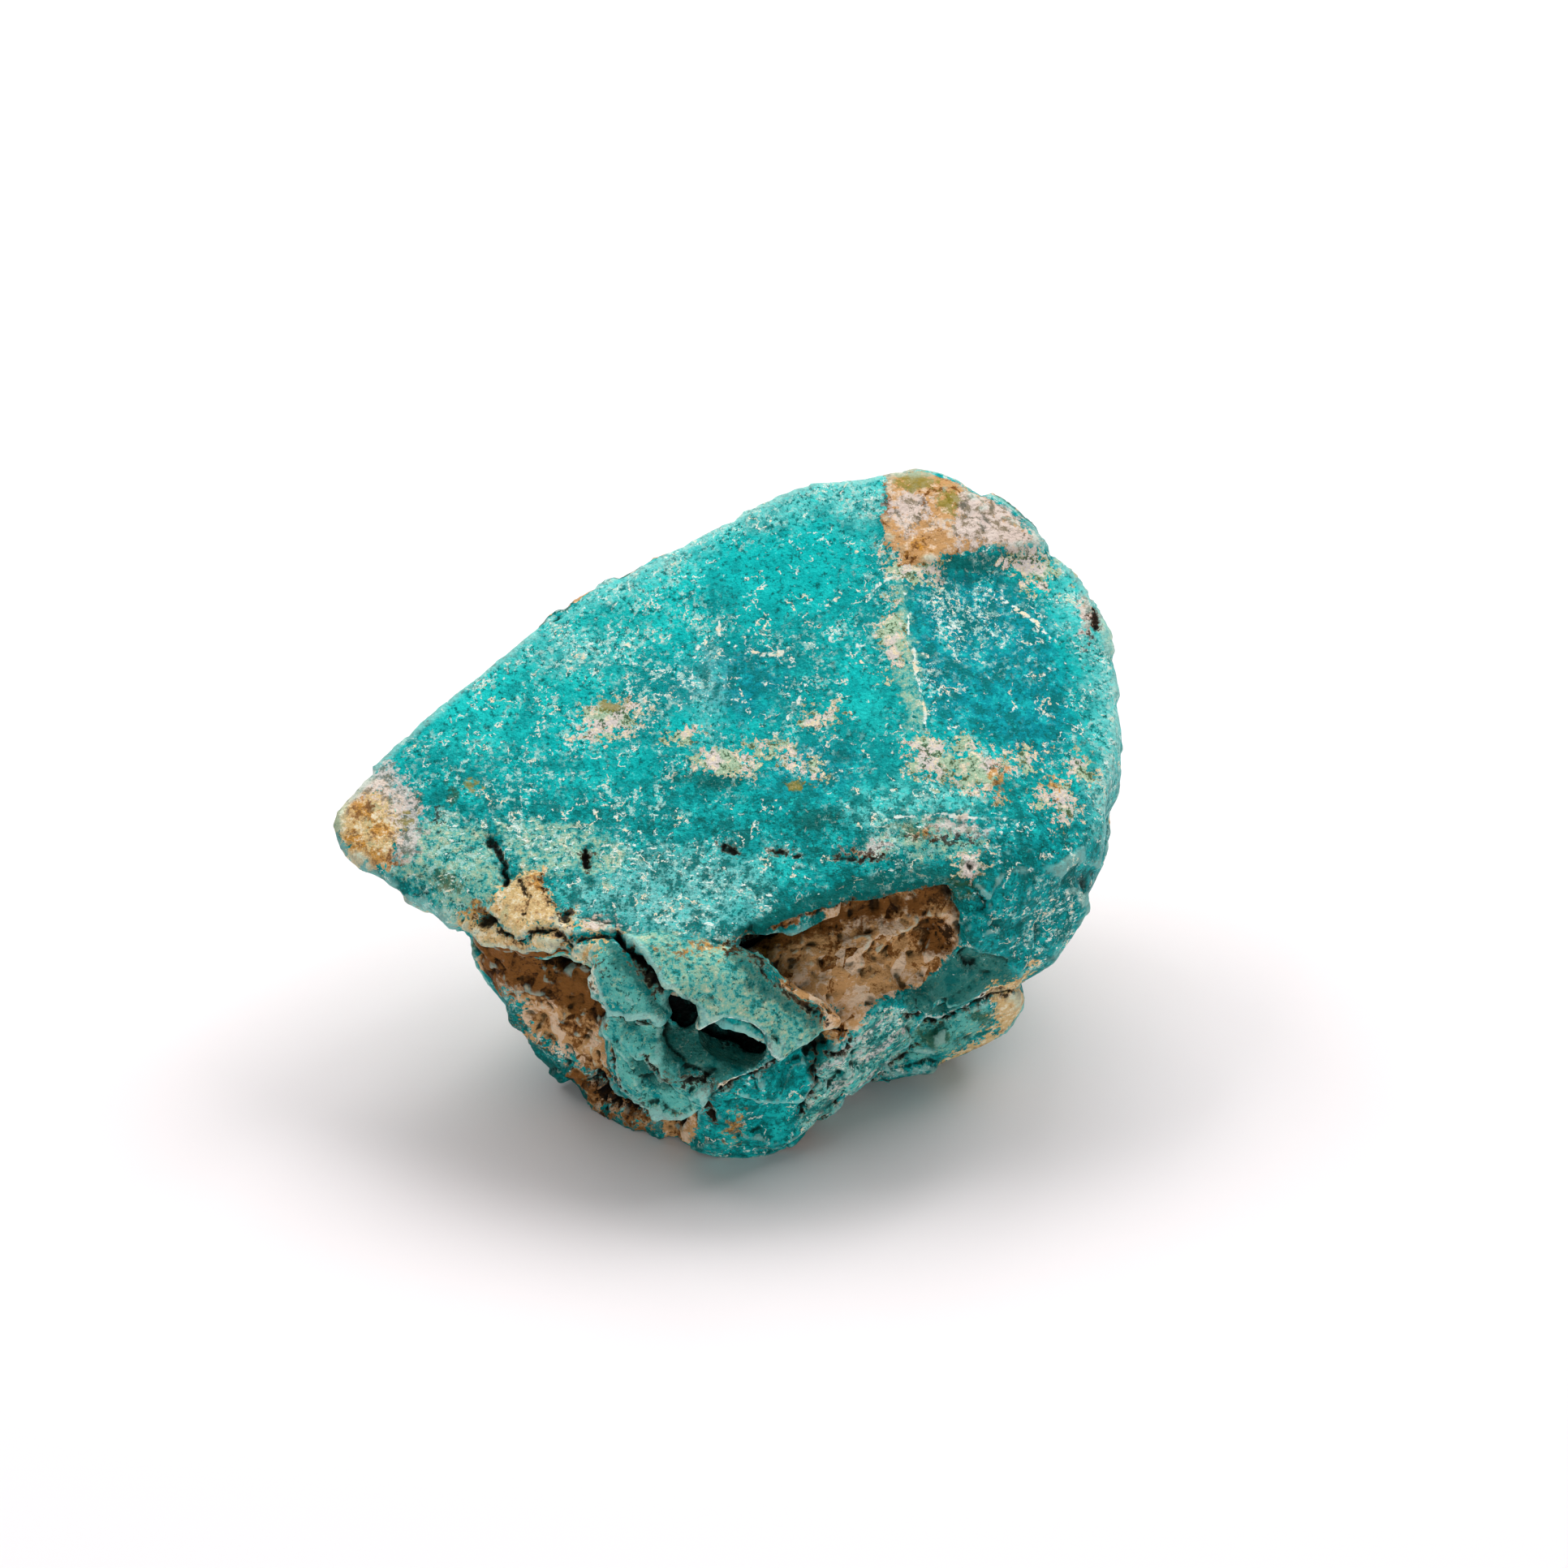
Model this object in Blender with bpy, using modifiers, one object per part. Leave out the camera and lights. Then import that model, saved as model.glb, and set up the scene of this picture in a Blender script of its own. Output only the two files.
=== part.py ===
"""Raw amazonite: one broken lump of blue-green feldspar with smoky quartz grown into it.

The stone is blocked out in millimetres from convex chunks, the way cleavage breaks feldspar: a slanting cap
slab, a shoulder, a narrower foot, and thin stacked plates under the cap's front edge. The chunks are fused
into one skin, pockets are cut, the surface is weathered, and the foot is cut flat where the stone rests.

Blocking frame: X to the right, Y to the back, Z up, with the front toe of the foot at the origin.
The finished stone stands on Z = 0 with the origin under the middle of its bounding box.
"""

import bmesh
import bpy
from mathutils import Matrix, Vector, noise

NAME = "amazonite"
MM = 0.001

# Driving sizes, in millimetres.
VOXEL = 0.40  # fineness of the skin that fuses the chunks
FOOT_CUT = 0.45  # height above the lowest blocking point at which the foot is cut flat
PLATE_RUN = 5.0  # how far a thin plate runs into the stone
POCKET_RUN = 9.0  # how far a pocket's cutter reaches out of the stone
WAVE_SIZE, WAVE_HEIGHT = 7.0, 0.30  # broad unevenness of the broken faces
CHIP_SIZE, CHIP_HEIGHT = 1.9, 0.16  # small chips and grains
TRIANGLES = 9300  # the finished faceted stone

# Directions that plates and pockets run in.
INWARD = Vector((0.0, 0.788, -0.616))  # back and down: how the front plates dip into the stone
BACKWARD = Vector((0.0, 1.0, 0.0))
FORWARD = Vector((0.0, -1.0, 0.0))
LEFTWARD = Vector((-1.0, 0.0, 0.0))
RIGHTWARD = Vector((1.0, 0.0, 0.0))

# Finish: blue-green feldspar.
TEAL = (0.012, 0.285, 0.262, 1.0)
ROUGHNESS = 0.48

# ---- chunks: each is the convex hull of its corners ------------------------------------------------------
CAP = [  # the big slab: a flat cleavage face on top, rising to the back, bevelled at the front left
    (-26.1, 11.0, 18.6), (-25.2, 12.4, 19.6), (-22.2, 15.3, 21.4), (-17.8, 17.7, 23.1), (-15.5, 20.6, 24.7),
    (-9.5, 24.1, 27.0), (0.8, 29.0, 31.0), (4.2, 30.0, 32.0), (8.9, 30.4, 32.8), (10.4, 23.8, 29.6),
    (11.5, 10.8, 23.3), (11.6, 6.3, 20.9), (7.4, 6.1, 20.4), (2.4, 4.9, 19.2), (-2.6, 2.4, 17.3),
    (-9.0, 3.6, 17.2), (-14.6, 7.4, 18.4), (-20.5, 11.5, 19.8), (-25.3, 9.9, 17.4), (-22.3, 8.5, 16.5),
    (-20.7, 7.5, 16.2), (-18.2, 6.4, 14.9), (-9.0, 3.4, 16.0), (-23.0, 14.0, 17.0), (-16.0, 24.0, 18.0),
    (-15.0, 20.0, 14.0), (2.0, 32.5, 21.0), (10.0, 33.5, 21.0), (10.0, 9.0, 14.0), (-17.0, 9.5, 13.6),
]
LIP = [  # the smooth rounded brow in front of the cap, one step down from its face
    (-9.4, 2.9, 16.5), (-6.4, 1.7, 16.9), (-3.2, 1.3, 17.2), (0.6, 1.9, 16.7), (4.1, 2.7, 17.6),
    (7.4, 3.5, 18.5), (10.9, 4.3, 18.9), (14.6, 4.9, 19.0), (-1.7, 4.6, 18.3), (4.9, 6.4, 19.6),
    (9.9, 6.2, 20.1), (15.2, 6.2, 20.1), (-8.0, 8.0, 16.0), (4.0, 9.0, 16.5), (15.0, 10.0, 16.5),
]
SHOULDER = [  # the right-hand block: its top leans down to the right and rounds over to the front
    (10.4, 23.8, 29.6), (11.5, 10.8, 23.3), (11.6, 7.2, 21.3), (15.7, 6.4, 20.5), (15.2, 4.9, 19.0),
    (20.1, 27.4, 28.9), (22.5, 26.0, 27.6), (23.5, 24.3, 26.6), (24.2, 22.3, 25.4), (24.8, 17.2, 22.9),
    (24.0, 13.6, 21.4), (23.4, 9.6, 19.0), (22.8, 9.2, 13.6), (20.5, 7.7, 10.2), (17.3, 6.0, 9.0),
    (14.4, 4.6, 9.3), (11.1, 3.6, 9.7), (15.2, 4.2, 15.2), (20.4, 6.8, 18.6), (22.0, 15.0, 9.0),
    (16.0, 12.0, 6.0), (24.2, 26.0, 17.0), (16.0, 33.0, 17.0), (10.0, 30.0, 14.0),
]
PEAK = [  # the granular quartz crown behind the top corner
    (9.2, 30.5, 32.6), (11.8, 31.2, 32.5), (14.3, 30.4, 31.8), (16.9, 29.0, 31.0), (18.8, 27.8, 30.2),
    (20.8, 26.9, 29.4), (10.4, 24.4, 30.1), (14.3, 25.1, 29.7), (17.5, 25.8, 29.0), (13.0, 34.0, 27.0),
    (19.5, 31.0, 25.0), (8.0, 33.0, 26.0), (14.0, 26.0, 24.0),
]
CORE = [  # the foot that carries the cap
    (-17.5, 7.0, 13.6), (-16.2, 7.8, 9.2), (-13.2, 8.4, 4.6), (-8.2, 3.4, 6.3), (-8.6, 4.4, 12.6),
    (0.0, 2.6, 13.0), (5.0, 1.8, 12.0), (12.0, 4.4, 12.0), (12.0, 7.0, 17.0), (18.0, 13.0, 12.0),
    (17.0, 26.0, 15.0), (4.0, 31.0, 16.0), (-10.0, 26.0, 17.0), (-16.0, 17.0, 16.0), (-11.4, 8.6, 0.8),
    (-9.0, 6.4, 0.0), (-6.6, 4.2, 0.0), (-3.3, 1.6, 0.0), (3.0, 1.5, 0.0), (8.0, 6.9, 0.0),
    (10.5, 12.0, 0.0), (8.5, 19.0, 0.0), (1.0, 22.0, 0.0), (-6.0, 18.5, 0.0), (-9.0, 12.0, 0.0),
    (13.4, 13.0, 2.0), (12.4, 21.0, 2.4), (3.0, 26.0, 3.0), (-8.0, 22.5, 2.8), (-12.2, 14.5, 2.0),
    (-2.0, 28.0, 7.0),
]
TOE = [  # the rounded lump at the front of the foot
    (-1.8, 0.2, 0.0), (0.0, 0.0, 0.0), (2.8, 0.5, 0.1), (4.9, 0.9, 1.6), (4.2, -0.6, 7.0), (1.8, -1.3, 7.4),
    (-1.0, -1.4, 7.2), (-3.2, 0.2, 4.4), (-3.6, 1.2, 0.8), (0.5, -0.5, 2.6), (-3.0, 6.0, 0.0),
    (5.0, 6.0, 0.0), (4.0, 5.0, 8.0), (-3.0, 5.0, 8.0),
]
FACETS = [  # small stepped faces between the plates' right ridge and the fin
    (6.0, 0.5, 12.6), (5.4, 0.5, 9.4), (4.1, -0.3, 7.3), (1.8, -1.2, 7.9), (-0.7, -1.7, 7.8),
    (1.9, -1.1, 10.4), (6.0, 5.0, 12.6), (5.4, 5.0, 8.0), (-0.7, 4.0, 7.8),
]
FIN = [  # the streaked wall to the right of the toe, ending in a sharp edge
    (5.1, 0.9, 1.6), (4.2, -0.5, 7.2), (5.4, 0.3, 9.6), (7.9, 1.0, 11.3), (12.6, 3.2, 11.6),
    (12.9, 3.7, 10.1), (11.1, 3.2, 8.1), (8.0, 2.0, 4.4), (5.0, 6.0, 2.5), (8.5, 7.0, 5.0),
    (12.6, 9.0, 10.0), (12.0, 8.0, 14.0),
]
HEEL = [  # the brown and green lump low on the right
    (11.1, 5.4, 8.2), (18.6, 7.4, 7.9), (18.9, 8.8, 5.6), (16.3, 8.8, 2.4), (14.2, 8.3, 1.3),
    (11.8, 7.9, 1.0), (9.4, 6.7, 0.3), (8.9, 5.4, 2.7), (17.0, 17.0, 4.6), (13.6, 15.0, 2.2),
    (10.0, 12.0, 0.2), (16.0, 16.0, 10.0),
]
UPPER_BACK = [  # the broken back of the cap, down to a ledge halfway
    (-14.4, 21.0, 23.6), (-7.6, 26.0, 26.2), (2.0, 31.0, 29.5), (9.0, 33.2, 30.2), (15.0, 32.6, 28.0),
    (21.0, 28.6, 25.6), (22.5, 27.2, 19.0), (12.5, 34.2, 20.0), (2.0, 32.4, 18.6), (-7.0, 28.4, 17.4),
    (-15.0, 22.6, 17.0), (0.0, 20.0, 18.0), (14.0, 22.0, 18.0),
]
LOWER_BACK = [  # below the ledge, leaning in towards the foot
    (-13.6, 21.0, 17.6), (-7.0, 26.6, 18.4), (2.0, 30.8, 19.4), (11.0, 32.2, 20.4), (19.0, 28.0, 19.0),
    (20.5, 24.0, 12.0), (13.0, 29.0, 8.4), (3.0, 29.4, 6.6), (-5.0, 26.4, 6.0), (-11.0, 21.4, 8.0),
    (0.0, 18.0, 4.0), (12.0, 20.0, 4.0),
]
CHUNKS = [CAP, LIP, SHOULDER, PEAK, CORE, TOE, FACETS, FIN, HEEL, UPPER_BACK, LOWER_BACK]

# ---- plates: the corners of the face that shows, and the direction in which each runs into the stone -----
BEIGE_LEDGE = [
    (-16.8, 5.3, 15.4), (-14.5, 4.0, 14.9), (-12.6, 3.2, 15.5), (-10.3, 2.3, 16.3), (-8.2, 1.5, 16.5),
    (-9.6, 3.6, 16.9), (-14.4, 6.0, 17.4),
]
LOW_LEDGE = [
    (-18.4, 6.0, 15.3), (-17.6, 5.2, 14.2), (-14.4, 4.1, 13.7), (-12.4, 3.7, 14.6), (-10.3, 2.9, 15.2),
    (-8.4, 2.2, 14.8), (-8.2, 2.4, 16.0), (-15.5, 6.4, 15.6),
]
UPPER_PLATE = [
    (-7.0, 1.4, 17.3), (-2.7, 0.7, 17.0), (0.1, 0.5, 16.9), (2.9, 0.2, 15.5), (6.0, 0.0, 12.9),
    (4.1, -0.8, 12.3), (2.1, -1.6, 11.0), (-1.9, -1.5, 13.5), (-4.2, -1.2, 15.2),
]
SIDE_PLATE = [
    (-8.3, 1.0, 16.7), (-7.1, 0.9, 17.1), (-4.6, -0.5, 14.0), (-4.5, -0.9, 13.2), (-5.7, -0.9, 13.2),
    (-8.0, -0.4, 13.1), (-8.5, 0.3, 15.2),
]
DISH = [
    (-8.4, 0.2, 12.4), (-4.5, 0.0, 12.6), (-1.2, 0.0, 11.6), (2.1, -0.5, 10.2), (1.7, -2.0, 8.6),
    (-1.0, -2.5, 8.2), (-4.0, -2.2, 10.1), (-6.8, -1.2, 11.4),
]
CRESCENT = [
    (-8.2, 0.2, 11.5), (-6.8, -0.6, 10.8), (-4.0, -1.3, 9.3), (-2.1, -1.7, 8.1), (-2.8, -1.4, 6.6),
    (-4.1, -1.0, 5.5), (-6.4, -0.4, 6.0), (-8.0, 0.5, 8.1),
]
RIM_CHIPS = [
    (24.8, 17.6, 21.6), (24.6, 20.8, 23.4), (23.9, 24.0, 24.2), (24.0, 24.5, 17.0), (24.4, 17.0, 15.4),
    (24.3, 14.0, 18.4),
]
RIM_LOW = [
    (23.6, 11.8, 16.2), (24.3, 15.6, 14.6), (24.0, 21.0, 13.6), (22.8, 17.6, 9.8), (22.6, 11.6, 11.6),
]
BACK_SCALE = [
    (-6.0, 28.2, 25.6), (3.0, 32.4, 27.6), (8.6, 34.2, 26.4), (6.6, 34.4, 22.6), (-1.0, 32.0, 21.6),
    (-7.0, 28.8, 22.4),
]
LEFT_SCALE = [
    (-16.9, 14.0, 15.6), (-16.4, 19.0, 16.4), (-14.6, 21.2, 13.6), (-14.2, 17.4, 8.6), (-15.6, 12.4, 9.6),
]
PLATES = [
    (BEIGE_LEDGE, INWARD), (LOW_LEDGE, INWARD), (UPPER_PLATE, INWARD), (SIDE_PLATE, INWARD), (DISH, INWARD),
    (CRESCENT, INWARD), (RIM_CHIPS, LEFTWARD), (RIM_LOW, LEFTWARD), (BACK_SCALE, FORWARD),
    (LEFT_SCALE, RIGHTWARD),
]

# ---- pockets: the corners of the floor, and the direction in which each opens ----------------------------
BROWN_LENS = [  # the big lens of brown quartz under the lip
    (0.6, 3.2, 15.3), (7.4, 5.0, 17.4), (11.2, 5.7, 17.8), (14.2, 6.1, 17.8), (14.8, 5.0, 14.9),
    (13.9, 3.9, 12.8), (9.2, 2.5, 11.6), (6.4, 1.7, 11.4), (2.9, 2.0, 13.7),
]
UNDERCUT_LEFT = [(-4.2, 1.6, 13.6), (-1.9, 1.6, 12.2), (-2.4, 1.2, 11.6), (-3.8, 1.2, 12.4)]
UNDERCUT_RIGHT = [(-1.8, 1.8, 12.2), (2.0, 1.8, 10.6), (1.6, 1.2, 9.3), (-0.6, 1.2, 9.8), (-1.9, 1.2, 10.8)]
LEDGE_HOLE = [(-11.6, 6.2, 13.9), (-8.9, 5.4, 13.9), (-8.9, 5.2, 12.6), (-11.4, 6.0, 12.8)]
UNDER_CRESCENT = [(-8.6, 3.8, 5.4), (-4.2, 1.6, 4.4), (-4.0, 1.6, 3.0), (-6.5, 3.4, 2.6), (-8.8, 5.2, 4.0)]
FIN_GAP = [
    (8.3, 5.6, 3.6), (11.4, 6.0, 7.0), (14.0, 7.0, 8.4), (14.0, 7.6, 6.4), (11.4, 7.0, 3.6), (8.8, 6.2, 1.4),
]
BACK_PIT = [(3.0, 29.6, 16.4), (9.0, 30.0, 17.4), (9.6, 29.2, 13.0), (4.0, 28.8, 12.2)]
POCKETS = [
    (BROWN_LENS, -INWARD), (UNDERCUT_LEFT, FORWARD), (UNDERCUT_RIGHT, FORWARD), (LEDGE_HOLE, FORWARD),
    (UNDER_CRESCENT, FORWARD), (FIN_GAP, FORWARD), (BACK_PIT, BACKWARD),
]


def hull(corners, name):
    """A closed mesh object: the convex hull of the corners."""
    bm = bmesh.new()
    for corner in corners:
        bm.verts.new(corner)
    made = bmesh.ops.convex_hull(bm, input=bm.verts)
    inner = [item for item in made["geom_interior"] if isinstance(item, bmesh.types.BMVert)]
    bmesh.ops.delete(bm, geom=inner, context="VERTS")
    bmesh.ops.recalc_face_normals(bm, faces=bm.faces)
    mesh = bpy.data.meshes.new(name)
    bm.to_mesh(mesh)
    bm.free()
    return bpy.data.objects.new(name, mesh)


def prism(corners, run, name):
    """The hull of the corners and of the same corners moved by a run."""
    return hull(corners + [Vector(corner) + run for corner in corners], name)


def evaluated_mesh(obj):
    bpy.context.view_layer.update()
    graph = bpy.context.evaluated_depsgraph_get()
    return bpy.data.meshes.new_from_object(obj.evaluated_get(graph))


def bake(stone):
    """Replaces the object's mesh by what its modifiers make of it."""
    mesh = evaluated_mesh(stone)
    stone.modifiers.clear()
    stone.data = mesh


def add_skin(stone, name):
    """Wraps the object in one voxel skin."""
    skin = stone.modifiers.new(name, "REMESH")
    skin.mode = "VOXEL"
    skin.voxel_size = VOXEL


def blocked_out(collection):
    """One object whose voxel skin wraps all the chunks and plates."""
    blocks = [hull(corners, "chunk") for corners in CHUNKS]
    blocks += [prism(corners, direction * PLATE_RUN, "plate") for corners, direction in PLATES]
    joined = bmesh.new()
    for block in blocks:
        joined.from_mesh(block.data)
        bpy.data.objects.remove(block)
    mesh = bpy.data.meshes.new(NAME)
    joined.to_mesh(mesh)
    joined.free()
    stone = bpy.data.objects.new(NAME, mesh)
    collection.objects.link(stone)
    add_skin(stone, "skin")
    return stone


def cut_pockets(stone, cutters):
    for index, (corners, direction) in enumerate(POCKETS):
        cutter = prism(corners, direction * POCKET_RUN, f"pocket_{index + 1}")
        cutters.objects.link(cutter)
        cutter.hide_render = True
        cutter.display_type = "WIRE"
        difference = stone.modifiers.new(cutter.name, "BOOLEAN")
        difference.operation = "DIFFERENCE"
        difference.object = cutter
    add_skin(stone, "healed_skin")


def island(start):
    """All the vertices that are connected to one."""
    found, unvisited = {start}, [start]
    while unvisited:
        vertex = unvisited.pop()
        for edge in vertex.link_edges:
            other = edge.other_vert(vertex)
            if other not in found:
                found.add(other)
                unvisited.append(other)
    return found


def keep_outer_skin(mesh):
    """Deletes every closed shell but the outer one: gaps between chunks, and dents under the foot."""
    bm = bmesh.new()
    bm.from_mesh(mesh)
    outer = island(max(bm.verts, key=lambda vertex: vertex.co.x))
    inner = [vertex for vertex in bm.verts if vertex not in outer]
    bmesh.ops.delete(bm, geom=inner, context="VERTS")
    bm.to_mesh(mesh)
    bm.free()


def weather(mesh):
    """Roughens the surface with broad waves and small chips."""
    normals = [vertex.normal.copy() for vertex in mesh.vertices]
    for vertex, normal in zip(mesh.vertices, normals):
        wave = noise.noise(vertex.co / WAVE_SIZE) * WAVE_HEIGHT
        chip = noise.noise(vertex.co / CHIP_SIZE) * CHIP_HEIGHT
        vertex.co += normal * (wave + chip)


def thin_out(stone):
    """Brings the mesh down to its number of flat facets."""
    facets = stone.modifiers.new("facets", "DECIMATE")
    triangles = sum(len(polygon.vertices) - 2 for polygon in stone.data.polygons)
    facets.ratio = TRIANGLES / triangles


def cut_foot(mesh):
    """Cuts the foot flat where the stone rests."""
    bm = bmesh.new()
    bm.from_mesh(mesh)
    level = min(vertex.co.z for vertex in bm.verts) + FOOT_CUT
    geometry = bm.verts[:] + bm.edges[:] + bm.faces[:]
    base = {"plane_co": (0, 0, level), "plane_no": (0, 0, -1)}
    made = bmesh.ops.bisect_plane(bm, geom=geometry, clear_outer=True, **base)
    rim = [item for item in made["geom_cut"] if isinstance(item, bmesh.types.BMEdge)]
    bmesh.ops.holes_fill(bm, edges=rim, sides=0)
    bmesh.ops.triangulate(bm, faces=bm.faces)
    bm.to_mesh(mesh)
    bm.free()


def stand(mesh):
    """Stands the stone centred on Z = 0 and turns millimetres into metres."""
    low = Vector(min(vertex.co[axis] for vertex in mesh.vertices) for axis in range(3))
    high = Vector(max(vertex.co[axis] for vertex in mesh.vertices) for axis in range(3))
    foot = Vector(((low.x + high.x) / 2, (low.y + high.y) / 2, low.z))
    mesh.transform(Matrix.Scale(MM, 4) @ Matrix.Translation(-foot))


def feldspar():
    material = bpy.data.materials.new("amazonite_feldspar")
    material.use_nodes = True
    shader = material.node_tree.nodes["Principled BSDF"]
    shader.inputs["Base Color"].default_value = TEAL
    shader.inputs["Roughness"].default_value = ROUGHNESS
    shader.inputs["Metallic"].default_value = 0.0
    return material


def main():
    for obj in list(bpy.data.objects):
        bpy.data.objects.remove(obj)
    stone_parts = bpy.data.collections.new("raw_amazonite")
    cutters = bpy.data.collections.new("cutters")
    bpy.context.scene.collection.children.link(stone_parts)
    bpy.context.scene.collection.children.link(cutters)

    stone = blocked_out(stone_parts)
    cut_pockets(stone, cutters)
    bake(stone)
    keep_outer_skin(stone.data)
    weather(stone.data)
    thin_out(stone)
    bake(stone)
    cut_foot(stone.data)
    keep_outer_skin(stone.data)
    stand(stone.data)
    stone.data.materials.append(feldspar())


main()
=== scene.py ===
"""The looks of the raw amazonite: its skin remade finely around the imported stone, carved, coloured and lit.

Places on the stone's seen side are written as pixels (across, down) of the 1932 x 1932 picture frame, because
the colour patches and cracks were laid out there. Every size, depth and grain is a real one, in millimetres.
"""

import math

import bmesh
import bpy
import numpy as np
from mathutils import Matrix, Vector, noise


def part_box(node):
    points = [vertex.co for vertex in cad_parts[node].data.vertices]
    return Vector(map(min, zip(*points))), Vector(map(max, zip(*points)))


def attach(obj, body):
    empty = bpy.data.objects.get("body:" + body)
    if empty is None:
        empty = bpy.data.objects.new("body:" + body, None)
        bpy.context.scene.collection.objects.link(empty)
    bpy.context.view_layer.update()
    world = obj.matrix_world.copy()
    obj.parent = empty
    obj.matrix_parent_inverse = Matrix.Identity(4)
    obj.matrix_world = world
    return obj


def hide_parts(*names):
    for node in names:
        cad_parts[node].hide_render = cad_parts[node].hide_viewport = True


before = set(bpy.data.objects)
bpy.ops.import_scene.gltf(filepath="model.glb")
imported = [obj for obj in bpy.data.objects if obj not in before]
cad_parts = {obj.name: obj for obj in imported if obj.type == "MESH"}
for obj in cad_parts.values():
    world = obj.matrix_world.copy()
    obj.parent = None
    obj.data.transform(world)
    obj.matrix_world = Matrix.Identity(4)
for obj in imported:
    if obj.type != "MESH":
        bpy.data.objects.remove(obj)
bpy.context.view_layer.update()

MM = 0.001
NODE = "amazonite"

# ---- the picture: where the camera stands --------------------------------------------------------
PICTURE = 1932  # pixels each way
PX_PER_MM = 19.3  # at the toe's distance
DISTANCE = 340.0
ELEVATION = math.radians(38.0)
SENSOR = 36.0
TOE_PX = (905.0, 1433.0)  # the front toe of the foot in the picture
TOE_FROM_CORNER = (25.67, 2.39, -0.16)  # the toe from the low corner of the stone's box

RIGHT = np.array((1.0, 0.0, 0.0))
UP = np.array((0.0, math.sin(ELEVATION), math.cos(ELEVATION)))
AWAY = np.array((0.0, math.cos(ELEVATION), -math.sin(ELEVATION)))
TOE = np.array(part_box(NODE)[0]) / MM + TOE_FROM_CORNER
MIDDLE = PICTURE / 2
TARGET = RIGHT * (MIDDLE - TOE_PX[0]) / PX_PER_MM + UP * (TOE_PX[1] - MIDDLE) / PX_PER_MM
EYE = TARGET - DISTANCE * AWAY  # in mm from the toe
FOCAL = PX_PER_MM * DISTANCE  # in pixels

# ---- light and floor -----------------------------------------------------------------------------
# Softboxes: where each stands in mm from the stone, and its watts.
SOFTBOXES = {
    "left_box": ((-270.0, 160.0, 420.0), 1.1),
    "right_box": ((270.0, 160.0, 420.0), 1.35),
    "back_box": ((0.0, 260.0, 430.0), 1.1),
    "front_box": ((0.0, -500.0, 70.0), 0.85),
}
BOX_SIZE = 0.28  # m
ROOM_COLOUR = (1.0, 1.0, 1.0, 1.0)
ROOM_LIGHT = 0.18
FLOOR_HALF = 3.0  # m
FLOOR_COLOUR = (0.92, 0.87, 0.88, 1.0)
FLOOR_ROUGHNESS = 0.9

# ---- colours: sRGB, as seen ----------------------------------------------------------------------
COLOURS = {
    "teal": (0, 192, 190), "deep teal": (0, 146, 147), "dark teal": (0, 84, 78), "aqua": (34, 216, 210),
    "blue": (0, 144, 162), "frost_and_sheen": (152, 228, 222), "pale": (180, 224, 214), "fleck": (228, 244, 236),
    "sea green": (104, 192, 180), "sage": (174, 204, 170), "moss": (44, 74, 30), "beige": (228, 194, 134),
    "cream": (246, 230, 196), "gold": (226, 174, 84), "ochre": (210, 146, 46), "olive": (140, 132, 48),
    "tan": (206, 158, 104), "rose": (238, 212, 184), "brown": (130, 84, 38), "dark brown": (56, 30, 6),
    "grey": (226, 212, 206), "slate": (120, 120, 106), "black": (12, 8, 4),
}
FIN_SLANT = math.radians(-38)  # the lean of the fin's stripes
SHARD_SLANT = math.radians(20)  # the lean of the quartz's drawn out grains
SHADE = (0.10, 0.14, 0.12, 1.0)  # what hollows keep of their light

# ---- the surface ---------------------------------------------------------------------------------
NOISE_SEED = 1  # without it the chips' borders differ from run to run
SKIN_VOXEL = 0.335  # mm, halved on the broken front
SMOOTH_STEPS = 3
NORMAL_STEPS = 6
HIDDEN_STEPS = 24  # more smoothing of the sides that the picture doesn't show, before they are broken again
TURN = 0.15  # the seen side passes into the hidden one between this cosine and its negative
FIELD_LIMIT = 3.0  # mm, the deepest that a region's field goes

# Heights of the relief in mm.
WAVES = 0.10
FINE = 0.04
FINE_MORE_ON_QUARTZ = 0.03
LUMPS = 0.15
PITS = 0.25
PITS_LESS_ON_CROWN = 0.20
SHARDS = 0.18
SHARDS_LESS_ON_CROWN = 0.08
CHIPS = 0.12
CHIPS_MORE_IN_FRONT = 0.06
CHIPS_SMALL = 0.06
CHIPS_FACE = 0.03  # on the flat cleavage face
CHIPS_HIDDEN = 0.14

# Breadths at which it is measured how far the skin stands out from its average around: smoothing steps added
# for each. The material paints shade where the skin sinks in, and at the middle breadth makes raised edges
# pale, part wear and part painted highlight.
BULGES = {"nook": 2, "wear_highlight_and_shade": 10, "set_in": 48}

CLEAVAGE = np.array((-0.1, -0.25, 0.96))  # the way that the flat top face looks
CROWN_ROWS = (700, 760)  # the crown is above these rows of the picture
STREAKY_ROWS = (900, 1040)  # flecks are drawn out sideways below these rows
# The broken front's outline in the picture.
BROKEN_FRONT = [(560, 1150), (600, 1060), (760, 1030), (900, 1090), (1100, 1060), (1210, 1040), (1260, 1180),
                (1130, 1330), (1000, 1410), (905, 1450), (830, 1430), (700, 1330)]

# ---- outlines on the seen side, in the picture ---------------------------------------------------
# A list of places is an outline; a tuple of four is an oval: its middle and its two half widths.

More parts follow.
